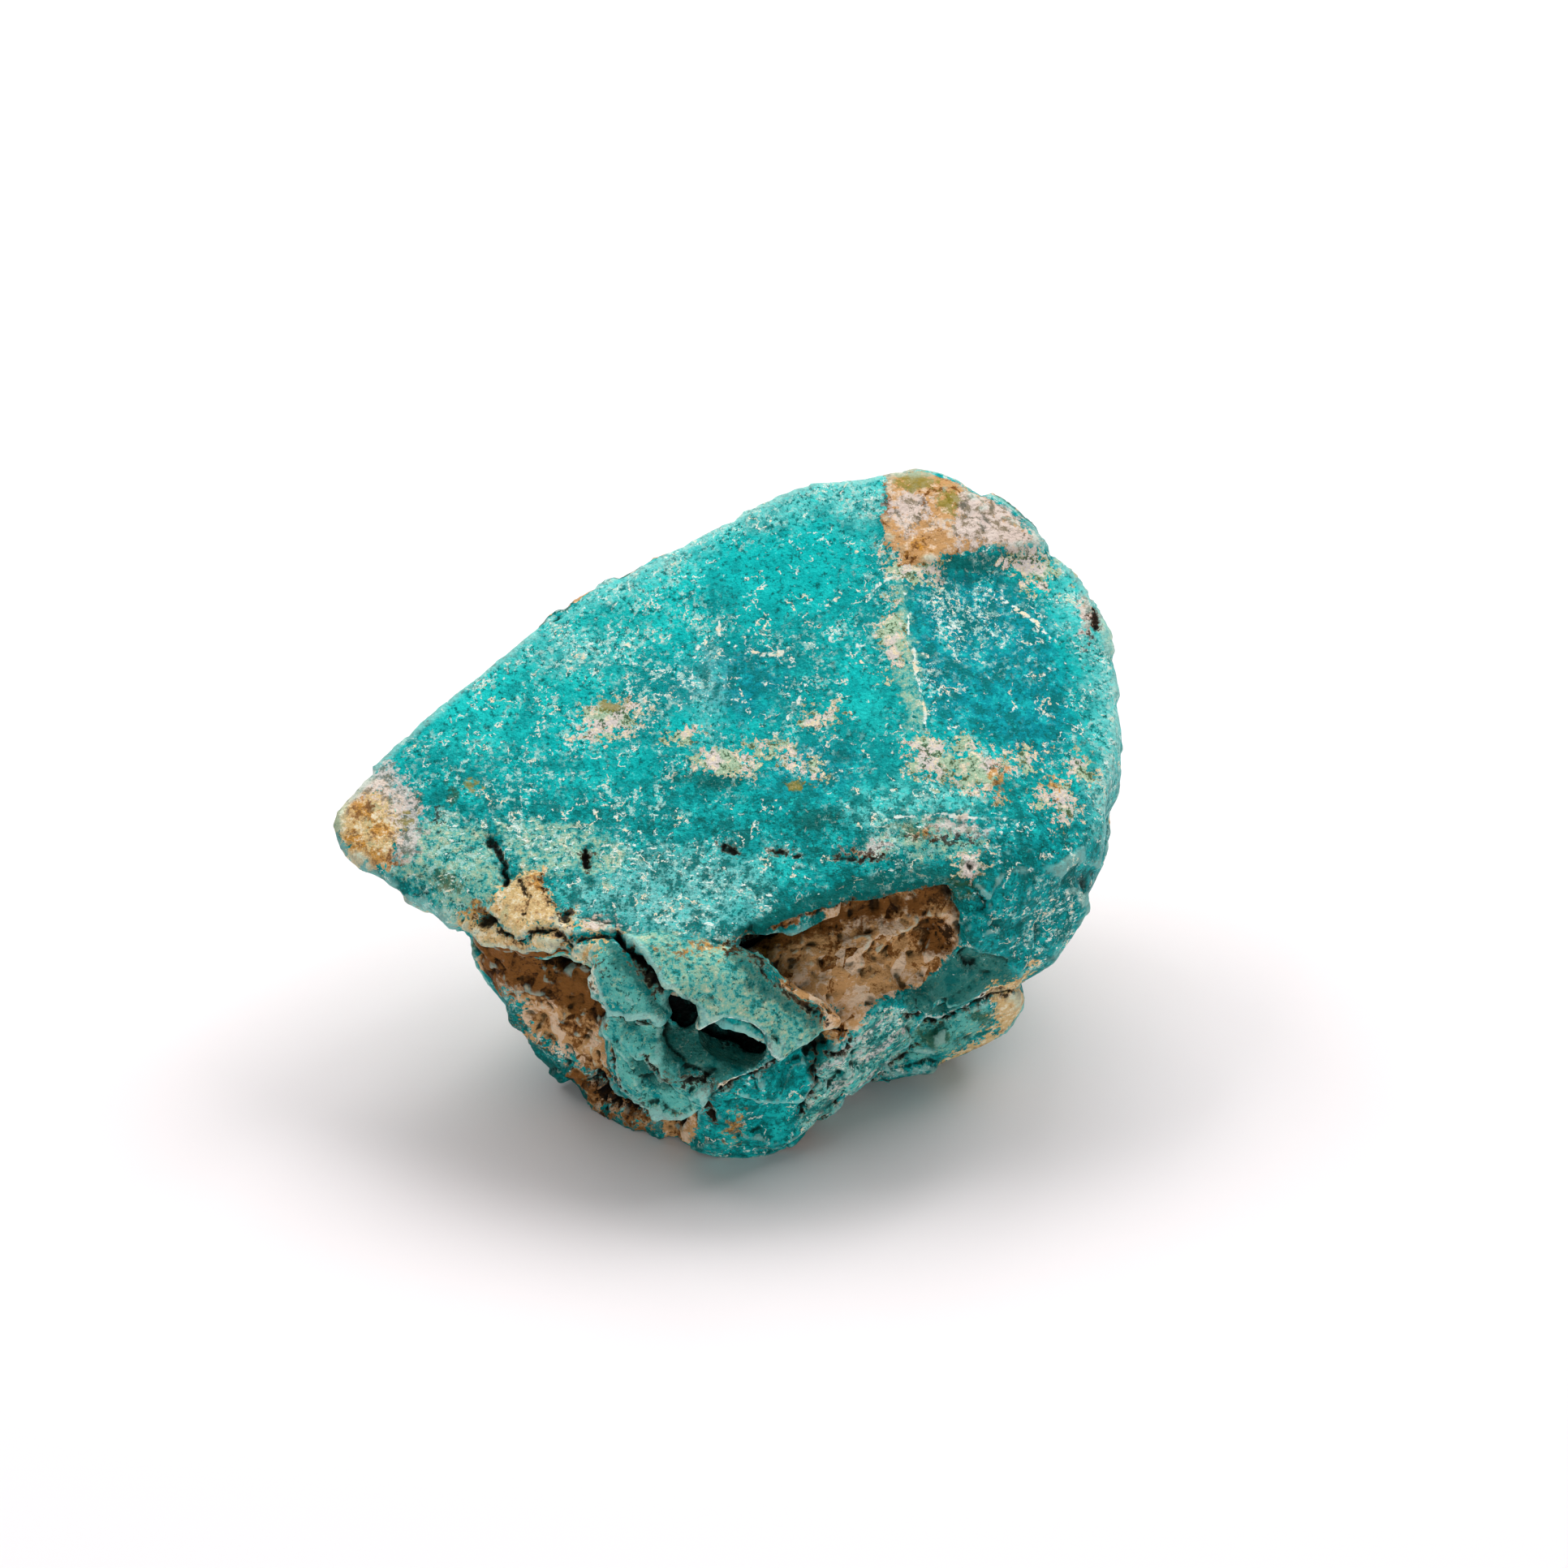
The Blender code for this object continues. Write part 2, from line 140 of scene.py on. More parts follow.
# The lens of brown quartz under the brow.
LENS = [(912, 1163), (980, 1134), (1030, 1117), (1080, 1108), (1120, 1103), (1164, 1093), (1182, 1128),
        (1180, 1168), (1156, 1197), (1114, 1220), (1073, 1238), (1033, 1247), (1004, 1240), (974, 1224),
        (957, 1206), (950, 1188), (930, 1179)]
LENS_TOP = [(912, 1163), (980, 1134), (1030, 1117), (1080, 1108), (1120, 1103), (1164, 1093),
            (1172, 1118), (1130, 1128), (1070, 1136), (1010, 1150), (950, 1172)]
LENS_SPOT = (1150, 1158, 22, 24)
UNDER_LENS = [(1004, 1242), (1073, 1238), (1062, 1262), (1045, 1278), (1030, 1290), (1012, 1275)]
ABOVE_LIP = [(917, 1146), (960, 1118), (1010, 1096), (1070, 1080), (1150, 1068), (1195, 1070),
             (1200, 1110), (1164, 1106), (1120, 1112), (1030, 1126), (980, 1143), (915, 1172)]

# The granular crown behind the top corner.
PEAK = [(1086, 560), (1121, 560), (1150, 570), (1186, 595), (1225, 612), (1256, 645), (1280, 664),
        (1250, 678), (1214, 674), (1186, 681), (1164, 685), (1150, 692), (1128, 696), (1110, 692),
        (1100, 681), (1089, 660), (1084, 638), (1093, 617), (1089, 596)]
PEAK_RIGHT = [(1180, 600), (1225, 612), (1256, 645), (1280, 664), (1250, 678), (1214, 674), (1186, 672),
              (1172, 640)]
PEAK_BAND = [(1164, 684), (1261, 681), (1262, 700), (1210, 706), (1158, 703)]
PEAK_SKIRT = [(1098, 688), (1128, 696), (1158, 692), (1152, 706), (1120, 708), (1103, 702)]
PEAK_PATCH = [(1236, 690), (1270, 684), (1296, 700), (1290, 722), (1262, 720)]
PEAK_CORNER = [(1000, 600), (1030, 580), (1085, 570), (1095, 620), (1080, 650), (1040, 640), (1010, 625)]

# The left: its tip and bevel, the beige ledges and the brown hollow under them.
TIP = [(390, 1000), (440, 955), (475, 965), (500, 1000), (495, 1035), (480, 1065), (440, 1065)]
TIP_GREY = [(452, 945), (478, 935), (512, 985), (525, 1010), (520, 1050), (500, 1062), (478, 1060),
            (490, 1020), (468, 985), (432, 985)]
LEFT_BEVEL = [(505, 1010), (560, 1002), (604, 1034), (620, 1070), (622, 1088), (602, 1124), (560, 1137),
              (520, 1100), (480, 1075), (500, 1040)]
SIDE_STEP = [(590, 1045), (615, 1075), (620, 1092), (602, 1122), (566, 1134), (540, 1112), (560, 1070)]
SAGE_FIELD = [(605, 1012), (690, 1018), (751, 1030), (780, 1060), (750, 1082), (690, 1078), (640, 1074),
              (622, 1040)]
UPPER_LEDGE = [(600, 1122), (623, 1088), (642, 1080), (665, 1077), (678, 1100), (686, 1117), (700, 1128),
               (751, 1143), (768, 1150), (738, 1154), (703, 1158), (680, 1145), (655, 1151), (636, 1154),
               (621, 1141)]
LOWER_LEDGE = [(568, 1148), (578, 1130), (602, 1127), (621, 1147), (636, 1155), (655, 1152), (680, 1146),
               (703, 1158), (740, 1155), (748, 1162), (735, 1184), (722, 1188), (697, 1166), (680, 1170),
               (655, 1172), (636, 1168), (617, 1170), (596, 1164)]
LEDGE_GAP = (706, 1190, 26, 6)
LEDGE_PIT_LEFT = (601, 1136, 11, 8)
LEDGE_PIT_RIGHT = (697, 1133, 7, 9)
LEDGE_TAB = (560, 1160, 18, 13)
HOLLOW = [(560, 1140), (598, 1164), (636, 1168), (680, 1170), (700, 1168), (726, 1190), (742, 1215),
          (748, 1300), (756, 1330), (734, 1332), (712, 1310), (694, 1292), (663, 1264), (631, 1230),
          (600, 1212), (560, 1200)]
HOLLOW_TOP = [(560, 1150), (636, 1166), (700, 1166), (732, 1190), (744, 1270), (700, 1256), (640, 1228),
              (590, 1210)]
BROWN_STREAK = [(712, 1308), (752, 1344), (802, 1372), (814, 1380), (798, 1383), (746, 1354), (706, 1318)]
BROWN_STRIP = [(812, 1374), (856, 1366), (858, 1392), (848, 1414), (828, 1404)]
FOOT_LEFT = [(636, 1238), (663, 1268), (694, 1296), (734, 1336), (775, 1366), (815, 1384), (840, 1420),
             (770, 1420), (680, 1360), (600, 1280)]

# The plates at the front.
MIDDLE_PLATE = [(768, 1153), (810, 1150), (872, 1162), (899, 1169), (917, 1178), (953, 1209), (988, 1232),
                (1016, 1247), (1018, 1257), (1000, 1268), (975, 1283), (953, 1294), (939, 1268),
                (917, 1259), (890, 1252), (864, 1255), (857, 1239), (828, 1223), (820, 1215), (801, 1187),
                (783, 1169)]
PLATE_EDGE = [(900, 1166), (930, 1178), (966, 1206), (1020, 1247), (998, 1260), (950, 1236), (915, 1210),
              (893, 1182)]
SIDE_PLATE = [(735, 1168), (756, 1158), (770, 1174), (797, 1194), (814, 1212), (824, 1232), (812, 1255),
              (797, 1248), (774, 1246), (752, 1248), (745, 1228), (738, 1200)]
SIDE_SHADE = [(742, 1160), (765, 1162), (800, 1194), (815, 1215), (818, 1250), (806, 1240), (782, 1208),
              (756, 1186)]
LOW_PLATE = [(743, 1250), (774, 1248), (812, 1256), (823, 1290), (848, 1320), (868, 1324), (886, 1338),
             (868, 1348), (836, 1336), (804, 1306), (770, 1282), (748, 1276)]
FOOT_PLATE = [(748, 1276), (770, 1282), (804, 1306), (836, 1336), (868, 1348), (840, 1364), (806, 1362),
              (782, 1352), (764, 1330), (754, 1300)]
FOOT_FACET = [(780, 1292), (806, 1308), (832, 1334), (800, 1340), (784, 1318)]
DISH = [(823, 1256), (868, 1262), (915, 1280), (945, 1296), (930, 1312), (900, 1326), (886, 1337),
        (868, 1323), (841, 1320), (820, 1306), (815, 1280)]
HOLE = [(822, 1224), (856, 1238), (864, 1256), (850, 1262), (826, 1250)]
CRESCENT = [(866, 1258), (890, 1252), (918, 1259), (938, 1270), (948, 1292), (934, 1290), (912, 1278),
            (884, 1270)]

# The toe, the fin beside it and the heel.
TOE_FACE = [(850, 1350), (886, 1342), (925, 1330), (975, 1300), (1004, 1270), (1004, 1330), (985, 1378),
        (972, 1402), (940, 1424), (880, 1428), (856, 1405)]
TOE_BAND = [(888, 1356), (1000, 1352), (985, 1384), (930, 1388), (896, 1378)]
TOE_CUT = [(990, 1276), (1022, 1268), (1020, 1318), (1000, 1328), (992, 1300)]
TOE_STEP = [(905, 1345), (940, 1325), (985, 1308), (1002, 1330), (985, 1350), (935, 1352)]
FIN = [(1020, 1300), (1045, 1276), (1085, 1240), (1130, 1250), (1131, 1290), (1096, 1318), (1055, 1352),
       (990, 1398), (985, 1380), (1004, 1330)]
FIN_STEP = [(1030, 1300), (1050, 1282), (1100, 1262), (1126, 1262), (1128, 1288), (1085, 1318),
            (1040, 1345)]
WEDGE = [(1115, 1240), (1116, 1222), (1156, 1200), (1184, 1170), (1240, 1180), (1255, 1212), (1203, 1228),
         (1158, 1248), (1125, 1248)]
HEEL_TAN = [(1222, 1218), (1275, 1195), (1268, 1262), (1222, 1304), (1160, 1334), (1150, 1312),
            (1196, 1290), (1226, 1262)]
HEEL_DARK = [(1122, 1256), (1160, 1252), (1222, 1228), (1222, 1262), (1190, 1290), (1140, 1306),
             (1100, 1310)]

# The top face and the right-hand block.
RIGHT_FACET = [(1120, 712), (1220, 706), (1262, 722), (1296, 770), (1318, 840), (1322, 905), (1280, 950),
               (1220, 915), (1180, 900), (1148, 890), (1128, 845), (1118, 775)]
RIGHT_BLOCK = [(1215, 1010), (1300, 1000), (1345, 960), (1372, 960), (1350, 1110), (1300, 1180),
               (1240, 1215), (1200, 1150), (1200, 1080)]
BLOCK_STEP = [(1190, 1092), (1262, 1050), (1342, 1100), (1300, 1178), (1240, 1212), (1192, 1178)]
AQUA_STEP = [(1046, 974), (1071, 962), (1118, 961), (1129, 967), (1207, 961), (1214, 974), (1207, 999),
             (1193, 1010), (1150, 1003), (1114, 1010), (1100, 1021), (1071, 1021), (1050, 990)]
NOTCH = [(1100, 1021), (1114, 1011), (1150, 1005), (1193, 1013), (1204, 1035), (1210, 1053), (1198, 1060),
         (1150, 1058), (1100, 1056), (1050, 1052), (1061, 1033)]
NOTCH_PINK = (1178, 1020, 22, 9)
NOTCH_SLATE = (1128, 1024, 19, 9)
NOTCH_LEFT = (1072, 1044, 16, 7)
BAND = [(1128, 952), (1130, 930), (1164, 935), (1193, 931), (1221, 938), (1240, 948), (1224, 968),
        (1230, 984), (1207, 971), (1171, 957)]
BOSS = (1195, 1068, 13, 11)
BOSS_PIT = (1195, 1068, 5, 5)
LIGHT_STRIP = [(1061, 838), (1086, 838), (1088, 905), (1064, 905)]
VEIN_STRIP = [(1100, 705), (1114, 705), (1122, 760), (1134, 850), (1142, 905), (1120, 900), (1100, 830),
              (1084, 800), (1086, 765), (1104, 752)]
FRONT_WHITE = [(690, 1100), (750, 1068), (850, 1050), (930, 1062), (945, 1100), (905, 1150), (830, 1152),
               (750, 1142)]

# The rims. The pale aqua, milky white and crowded pale lace laid along the three sheens is painted sheen.
LEFT_SHEEN = [(590, 815), (700, 740), (820, 680), (860, 700), (830, 780), (760, 850), (660, 870),
              (590, 950), (520, 900)]
RIM_SHEEN = [(640, 770), (740, 700), (860, 635), (985, 590), (1040, 590), (1000, 625), (880, 668),
             (760, 735)]
RIGHT_SHEEN = [(1300, 690), (1345, 730), (1372, 800), (1392, 880), (1380, 950), (1355, 1030), (1340, 960),
               (1352, 880), (1335, 800), (1304, 740)]
RIM_SLAB = [(1335, 706), (1356, 728), (1374, 775), (1376, 808), (1362, 806), (1348, 770), (1340, 735)]
RIM_CHIP = (1340, 760, 10, 20)

# ---- colour regions ------------------------------------------------------------------------------
# More ovals of a region, apart from its outlines.
SPOTS = {
    "blue": [(900, 840, 60, 40), (1000, 960, 60, 40)],
    "deep": [(880, 960, 40, 12), (1005, 1010, 30, 14)],
    "moss": [(1150, 1276, 26, 10), (1210, 1250, 16, 9), (1186, 1092, 22, 12), (545, 1085, 16, 9),
             (510, 984, 10, 11), (560, 975, 8, 14), (596, 1150, 14, 8), (985, 965, 12, 8), NOTCH_SLATE],
    "frost_and_sheen": [(1085, 1000, 24, 16), (1150, 985, 30, 12), (870, 850, 14, 30), (700, 800, 40, 14)],
    "aqua": [(935, 1345, 20, 8), (960, 1384, 16, 14), (905, 1410, 26, 8), (960, 1072, 30, 14),
             (690, 1100, 11, 15), (1082, 1010, 20, 12)],
    "clean": [(965, 715, 105, 62), (1010, 640, 60, 36), (915, 845, 44, 46), (1060, 860, 40, 60),
              (1240, 870, 74, 50), (960, 1005, 90, 42), (1290, 1050, 44, 66), (640, 905, 52, 26),
              (1050, 930, 40, 22), (1000, 1075, 90, 16)],
    "crowd": [(842, 740, 30, 20), (750, 890, 46, 32), (905, 938, 46, 24), (982, 888, 20, 16),
              (1000, 944, 28, 12), (1190, 770, 40, 44), (1225, 735, 30, 12), (1225, 800, 28, 22),
              (1145, 925, 24, 22), (1300, 1120, 40, 40), (640, 960, 60, 26), (865, 830, 14, 44),
              (800, 830, 40, 50), (700, 800, 60, 30), (1040, 790, 50, 10), (1150, 730, 24, 24)],
    "beige": [(1330, 712, 9, 12)],
    "crust": [(1255, 935, 16, 7), (1300, 978, 14, 12), (1316, 1000, 9, 12), (1333, 943, 13, 12),
              (1194, 917, 9, 7), (756, 884, 28, 15), (735, 902, 14, 8), (1100, 790, 8, 24),
              (900, 938, 22, 10), (996, 950, 9, 6), BOSS, (1146, 920, 15, 11), (950, 925, 12, 6),
              (838, 905, 10, 6), (1010, 886, 10, 6), (1215, 968, 12, 10)],
    "ochre": [(450, 998, 15, 10), (466, 1022, 11, 12), (436, 1034, 10, 12), (464, 1057, 15, 6),
              (1128, 674, 15, 8), (1232, 964, 8, 14), (872, 1170, 30, 5), (1143, 1032, 5, 4),
              (596, 1123, 10, 6), (664, 1090, 8, 8), (905, 1390, 5, 8), (1296, 968, 6, 6)],
    "olive": [(412, 1014, 9, 16), (502, 1010, 9, 8), (1128, 592, 24, 12), (1170, 620, 12, 18),
              (581, 966, 7, 9), (986, 968, 9, 6), (752, 870, 10, 6)],
    "quartz": [RIM_CHIP, (1060, 1050, 10, 5)],
    "brown": [LENS_SPOT, (478, 1036, 12, 9), (1090, 620, 8, 28)],
    "grey": [(1122, 628, 26, 22), NOTCH_PINK, NOTCH_LEFT, BOSS, (443, 976, 13, 9), (1117, 661, 6, 7),
             (1155, 646, 14, 4), (730, 1143, 24, 7), RIM_CHIP],
    # Black ovals: painted shadow in the hole, the crescent, the ledge gap, the pits, under the lip and under
    # the heel; the thin ones are dark cracks.
    "black": [(1164, 1152, 6, 9), (838, 1240, 12, 9), (922, 1274, 22, 9), LEDGE_GAP, LEDGE_PIT_LEFT,
              LEDGE_PIT_RIGHT, (540, 1009, 4, 6), (722, 1055, 4, 8), (1074, 1350, 12, 9),
              (903, 1172, 9, 7), (1090, 1338, 14, 12), (1346, 756, 4, 18), (876, 1368, 4, 9),
              (1172, 1035, 13, 2), (1074, 1051, 9, 3)],
}

# Each region: its outlines, the level of noise above which it takes the hidden side, so that a high level
# takes little of it, and how big its patches are there in mm.
REGIONS = {
    "blue": ([RIGHT_FACET, RIGHT_BLOCK], 0.1, 9.0),
    # deep: darker teal, painted as shade under the lip, in the hole, the crescent, the dish and other
    # recesses, and on the underside of the foot.
    "deep": ([ABOVE_LIP, PLATE_EDGE, SIDE_SHADE, HOLE, CRESCENT, WEDGE, FOOT_LEFT, DISH, FOOT_FACET,
              TOE_CUT, PEAK_BAND], 0.2, 9.0),
    "moss": ([], 0.55, 5.0),
    "sage": ([LEFT_BEVEL, SAGE_FIELD, MIDDLE_PLATE, RIM_SLAB, VEIN_STRIP, NOTCH], 0.25, 8.0),
    "plates": ([MIDDLE_PLATE, HEEL_DARK, SIDE_PLATE, LOW_PLATE, FOOT_PLATE, DISH, WEDGE], 0.15, 8.0),
    "striped": ([FIN], 0.5, 5.0),
    # aqua and the milky white below: painted sheen on the three rim sheens and the peak's corner; elsewhere
    # they are the stone's paler patches.
    "aqua": ([AQUA_STEP, LEFT_SHEEN, RIM_SHEEN, RIGHT_SHEEN, PEAK_CORNER, LIGHT_STRIP], 0.35, 7.0),
    "clean": ([TOE_FACE], 0.3, 7.0),
    "frost_and_sheen": ([FRONT_WHITE, RIM_SHEEN, RIGHT_SHEEN, PEAK_CORNER], 0.45, 6.0),
    "crowd": ([RIM_SHEEN, RIGHT_SHEEN, PEAK_CORNER], 0.2, 6.0),
    "beige": ([TIP, UPPER_LEDGE, LOWER_LEDGE, HEEL_TAN], 0.52, 5.0),
    "crust": ([BAND, PEAK_SKIRT, PEAK_PATCH], 0.64, 4.0),
    "ochre": ([], 0.55, 4.0),
    "olive": ([], 0.75, 4.0),
    "quartz": ([LENS, PEAK, HOLLOW, BROWN_STRIP, BROWN_STREAK, UNDER_LENS], 0.36, 8.0),
    # brown: the darker brown at the lens's top under the lip and at the hollow's top under the ledge is
    # partly painted shade.
    "brown": ([LENS_TOP, HOLLOW_TOP, BROWN_STREAK], 0.45, 5.0),
    "grey": ([TIP_GREY, PEAK_RIGHT], 0.50, 4.0),
    "black": ([], 0.8, 3.0),
}

# ---- relief that is laid out ---------------------------------------------------------------------
# Blocks: each one's shape, its height in mm at its upper and at its lower edge, and how wide its edge is.
BLOCKS = [
    (MIDDLE_PLATE, 0.2, 1.1, 0.07), (SIDE_PLATE, 0.3, 0.9, 0.07), (LOW_PLATE, 0.2, 1.1, 0.07),
    (FOOT_PLATE, -0.1, 0.8, 0.08), (FOOT_FACET, -0.6, -0.1, 0.15), (HOLE, -1.3, -1.3, 0.15),
    (CRESCENT, -1.4, -1.4, 0.15), (DISH, -0.8, 0.1, 0.2), (UPPER_LEDGE, 0.2, 0.6, 0.08),
    (LOWER_LEDGE, 0.2, 0.5, 0.08), (LENS, -0.6, 0.0, 0.08), (HOLLOW, -0.5, 0.0, 0.15),
    (NOTCH, -0.12, 0.0, 0.25), (AQUA_STEP, 0.0, 0.16, 0.10), (BAND, 0.10, 0.10, 0.10),
    (TOE_CUT, -0.9, -0.3, 0.12), (TOE_BAND, -0.4, 0.1, 0.10), (TOE_STEP, 0.0, 0.6, 0.08),
    (PEAK, 0.1, 0.1, 0.3), (RIM_SLAB, 0.35, 0.35, 0.2), (WEDGE, -0.5, 0.1, 0.10),
    (RIGHT_FACET, -0.15, -0.05, 0.2), (FIN_STEP, -0.1, 0.5, 0.08), (BLOCK_STEP, -0.1, 0.3, 0.12),
    (LEDGE_GAP, -1.0, -1.0, 0.2), (LEDGE_PIT_LEFT, -0.6, -0.6, 0.2), (LEDGE_PIT_RIGHT, -0.6, -0.6, 0.2),
    (BOSS, 0.25, 0.25, 0.2), (BOSS_PIT, -0.4, -0.4, 0.2), (LENS_SPOT, -0.3, -0.1, 0.3),
    (RIM_CHIP, 0.3, 0.3, 0.3), (PEAK_BAND, -0.1, 0.0, 0.2), (SIDE_STEP, -0.1, 0.3, 0.12),
    (FOOT_LEFT, 0.9, 0.9, 0.5), (LEDGE_TAB, -0.9, -0.9, 0.3),
]

# Cracks: their course, half width and depth in mm.
CRACKS = [
    ([(601, 1032), (614, 1049), (620, 1068), (624, 1090)], 0.14, 0.6),
    ([(722, 1047), (723, 1066)], 0.2, 0.5),
    ([(640, 1084), (652, 1110), (648, 1138)], 0.04, 0.25),
    ([(668, 1080), (674, 1108), (690, 1126)], 0.04, 0.25),
    ([(621, 1146), (640, 1156), (660, 1152), (684, 1148), (706, 1160), (742, 1157)], 0.05, 0.3),
    ([(888, 1040), (906, 1052)], 0.2, 0.5),
    ([(948, 1050), (964, 1047), (988, 1055)], 0.1, 0.4),
    ([(1032, 1057), (1057, 1060), (1086, 1055)], 0.1, 0.35),
    ([(760, 1152), (785, 1182), (803, 1200), (814, 1216)], 0.18, 0.9),
    ([(912, 1163), (980, 1135), (1030, 1118), (1080, 1109), (1120, 1104), (1164, 1094)], 0.12, 0.6),
    ([(734, 1326), (756, 1352), (810, 1370), (840, 1382)], 0.2, 0.8),
    ([(872, 1358), (880, 1378)], 0.15, 0.4),
    ([(1344, 735), (1348, 775)], 0.15, 0.4),
    ([(1060, 1350), (1085, 1335)], 0.2, 0.5),
    ([(578, 1150), (590, 1165), (617, 1171), (660, 1173), (697, 1168), (722, 1190), (738, 1215)], 0.1, 0.5),
    ([(744, 1252), (774, 1250), (797, 1252), (812, 1259)], 0.08, 0.4),
    ([(800, 1296), (819, 1313), (841, 1325), (868, 1328), (886, 1342), (917, 1331), (1004, 1274)], 0.08, 0.5),
    ([(1000, 1392), (1060, 1340), (1128, 1284)], 0.06, 0.3),
    ([(917, 1180), (953, 1212), (988, 1236), (1010, 1250)], 0.08, 0.5),
    ([(1004, 1272), (1004, 1330), (988, 1372)], 0.08, 0.5),
    ([(1018, 1260), (1050, 1276), (1040, 1292), (1020, 1300)], 0.06, 0.4),
    ([(752, 1300), (766, 1332), (784, 1352), (806, 1363), (842, 1365), (872, 1350)], 0.10, 0.5),
    ([(1120, 1254), (1158, 1255), (1203, 1233), (1250, 1218)], 0.08, 0.5),
]

# Thin pale lines.
WHITE_LINES = [
    [(885, 765), (887, 785), (905, 796), (932, 803), (939, 806), (965, 806)],
    [(860, 795), (852, 820), (850, 845)],
    [(1018, 792), (1029, 778), (1055, 771)],
    [(987, 831), (986, 856), (970, 890)],
    [(1054, 794), (1079, 796)],
    [(1112, 706), (1118, 760), (1130, 830), (1143, 903)],
    [(1235, 735), (1280, 770), (1310, 800)],
    [(1070, 740), (1082, 720), (1104, 708)],
    [(862, 1254), (890, 1249), (918, 1256), (941, 1268), (953, 1288)],
    [(886, 1339), (925, 1322), (953, 1308)],
    [(735, 1172), (742, 1215), (748, 1246)],
    [(1101, 1009), (1150, 1003), (1205, 1010)],
    [(1128, 1254), (1158, 1249), (1203, 1230), (1245, 1214)],
]


def linear(name):
    """A named sRGB colour as linear RGBA."""
    channels = [value / 255 for value in COLOURS[name]]
    return tuple((c / 12.92 if c <= 0.04045 else ((c + 0.055) / 1.055) ** 2.4) for c in channels) + (1.0,)


# ---- places in the picture -----------------------------------------------------------------------
def picture_place(points):
    """Where points, in mm from the toe, lie in the picture: pixels across and down."""
    relative = points - EYE
    depth = relative @ AWAY
    across = MIDDLE + FOCAL * (relative @ RIGHT) / depth
    down = MIDDLE - FOCAL * (relative @ UP) / depth
    return np.stack((across, down), axis=1)


def from_segment(places, start, end):
    """Distance in pixels from each place to a straight segment."""
    along = end - start
    offset = places - start
    share = np.clip((offset @ along) / (along @ along), 0, 1)
    return np.linalg.norm(offset - share[:, None] * along, axis=1)


def from_line(places, line):
    """Distance in mm from each place to an open line."""
    corners = np.array(line, float)
    reaches = [from_segment(places, start, end) for start, end in zip(corners[:-1], corners[1:])]
    return np.min(reaches, axis=0) / PX_PER_MM


def inside(places, outline):
    """Signed distance in mm from each place to a closed outline, positive inside."""
    corners = np.array(outline, float)
    nearest = np.full(len(places), np.inf)
    odd = np.zeros(len(places), bool)
    for start, end in zip(corners, np.roll(corners, -1, axis=0)):
        nearest = np.minimum(nearest, from_segment(places, start, end))
        across, down = end - start
        crosses = (start[1] > places[:, 1]) != (end[1] > places[:, 1])
        with np.errstate(divide="ignore", invalid="ignore"):
            at = start[0] + (places[:, 1] - start[1]) * across / down
        odd ^= crosses & (places[:, 0] < at)
    return np.where(odd, nearest, -nearest) / PX_PER_MM


def depth_inside(places, shape):
    """Signed distance in mm from each place to a shape's border, positive inside it."""
    if isinstance(shape, list):
        return inside(places, shape)
    middle, halves = np.array(shape[:2]), np.array(shape[2:])
    return (1 - np.linalg.norm((places - middle) / halves, axis=1)) * halves.min() / PX_PER_MM


def smooth(low, high, value):
    """Rises smoothly from 0 to 1 as the value goes from low to high."""
    share = np.clip((value - low) / (high - low), 0, 1)
    return share * share * (3 - 2 * share)


def fall(places, shape, upper, lower):
    """A height that goes evenly from the upper to the lower edge of a shape."""
    if isinstance(shape, list):
        rows = [row for _, row in shape]
        top, bottom = min(rows), max(rows)
    else:
        top, bottom = shape[1] - shape[3], shape[1] + shape[3]
    share = np.clip((places[:, 1] - top) / (bottom - top), 0, 1)
    return upper + (lower - upper) * share


# ---- noise ---------------------------------------------------------------------------------------
def grain(points, size, octaves, seed):
    """Noise of about -1 to 1 at each point, with features of the given size in mm."""
    shift = Vector((seed, seed * 1.7, -seed))
    return np.array([noise.fractal(Vector(point) / size + shift, 0.8, 2.1, octaves) for point in points])


def wandered(places, points, size, octaves, seeds, by):
    """Places pushed about by up to so many pixels, so that what is laid out gets a crooked border."""
    push = [grain(points, size, octaves, seed) for seed in seeds]
    return places + np.stack(push, axis=1) * by


def chips(points, size, seed):
    """Flat chips in mm: each cell of a warped cell pattern leans its own way, by up to 45 degrees or so."""
    warp = np.array([noise.noise_vector(Vector(point) / size * 1.5) for point in points]) * size * 0.25
    height = np.empty(len(points))
    shift = Vector((seed, seed, seed))
    for index, point in enumerate(points + warp):
        place = Vector(point) / size + shift
        centre = noise.voronoi(place)[1][0]
        way = noise.cell_vector(centre * 7.3) - Vector((0.5, 0.5, 0.5))
        height[index] = (place - centre).dot(way) * 2 * size
    return height


def lumps(points, size):
    """Rounded grains in mm, packed side by side."""
    return np.array([0.5 - noise.voronoi(Vector(point) / size)[0][0] for point in points]) * size


# ---- the skin's mesh -----------------------------------------------------------------------------
def vertex_array(mesh, field):
    values = np.empty(len(mesh.vertices) * 3, np.float32)
    mesh.vertices.foreach_get(field, values)
    return values.reshape(-1, 3).astype(float)


def store(mesh, name, values):
    layer = mesh.attributes.new(name, "FLOAT", "POINT")
    layer.data.foreach_set("value", np.asarray(values, np.float32))


def relaxed(mesh, values, steps):
    """Averages values over neighbouring vertices a number of times."""
    edges = np.empty(len(mesh.edges) * 2, np.int32)
    mesh.edges.foreach_get("vertices", edges)
    first, second = edges.reshape(-1, 2).T
    count = np.bincount(np.concatenate((first, second)), minlength=len(values)).astype(float)
    for _ in range(steps):
        total = np.zeros_like(values)
        for axis in range(values.shape[1]):
            total[:, axis] = np.bincount(first, values[second, axis], len(values))
            total[:, axis] += np.bincount(second, values[first, axis], len(values))
        values = (values + total / count[:, None]) / 2
    return values


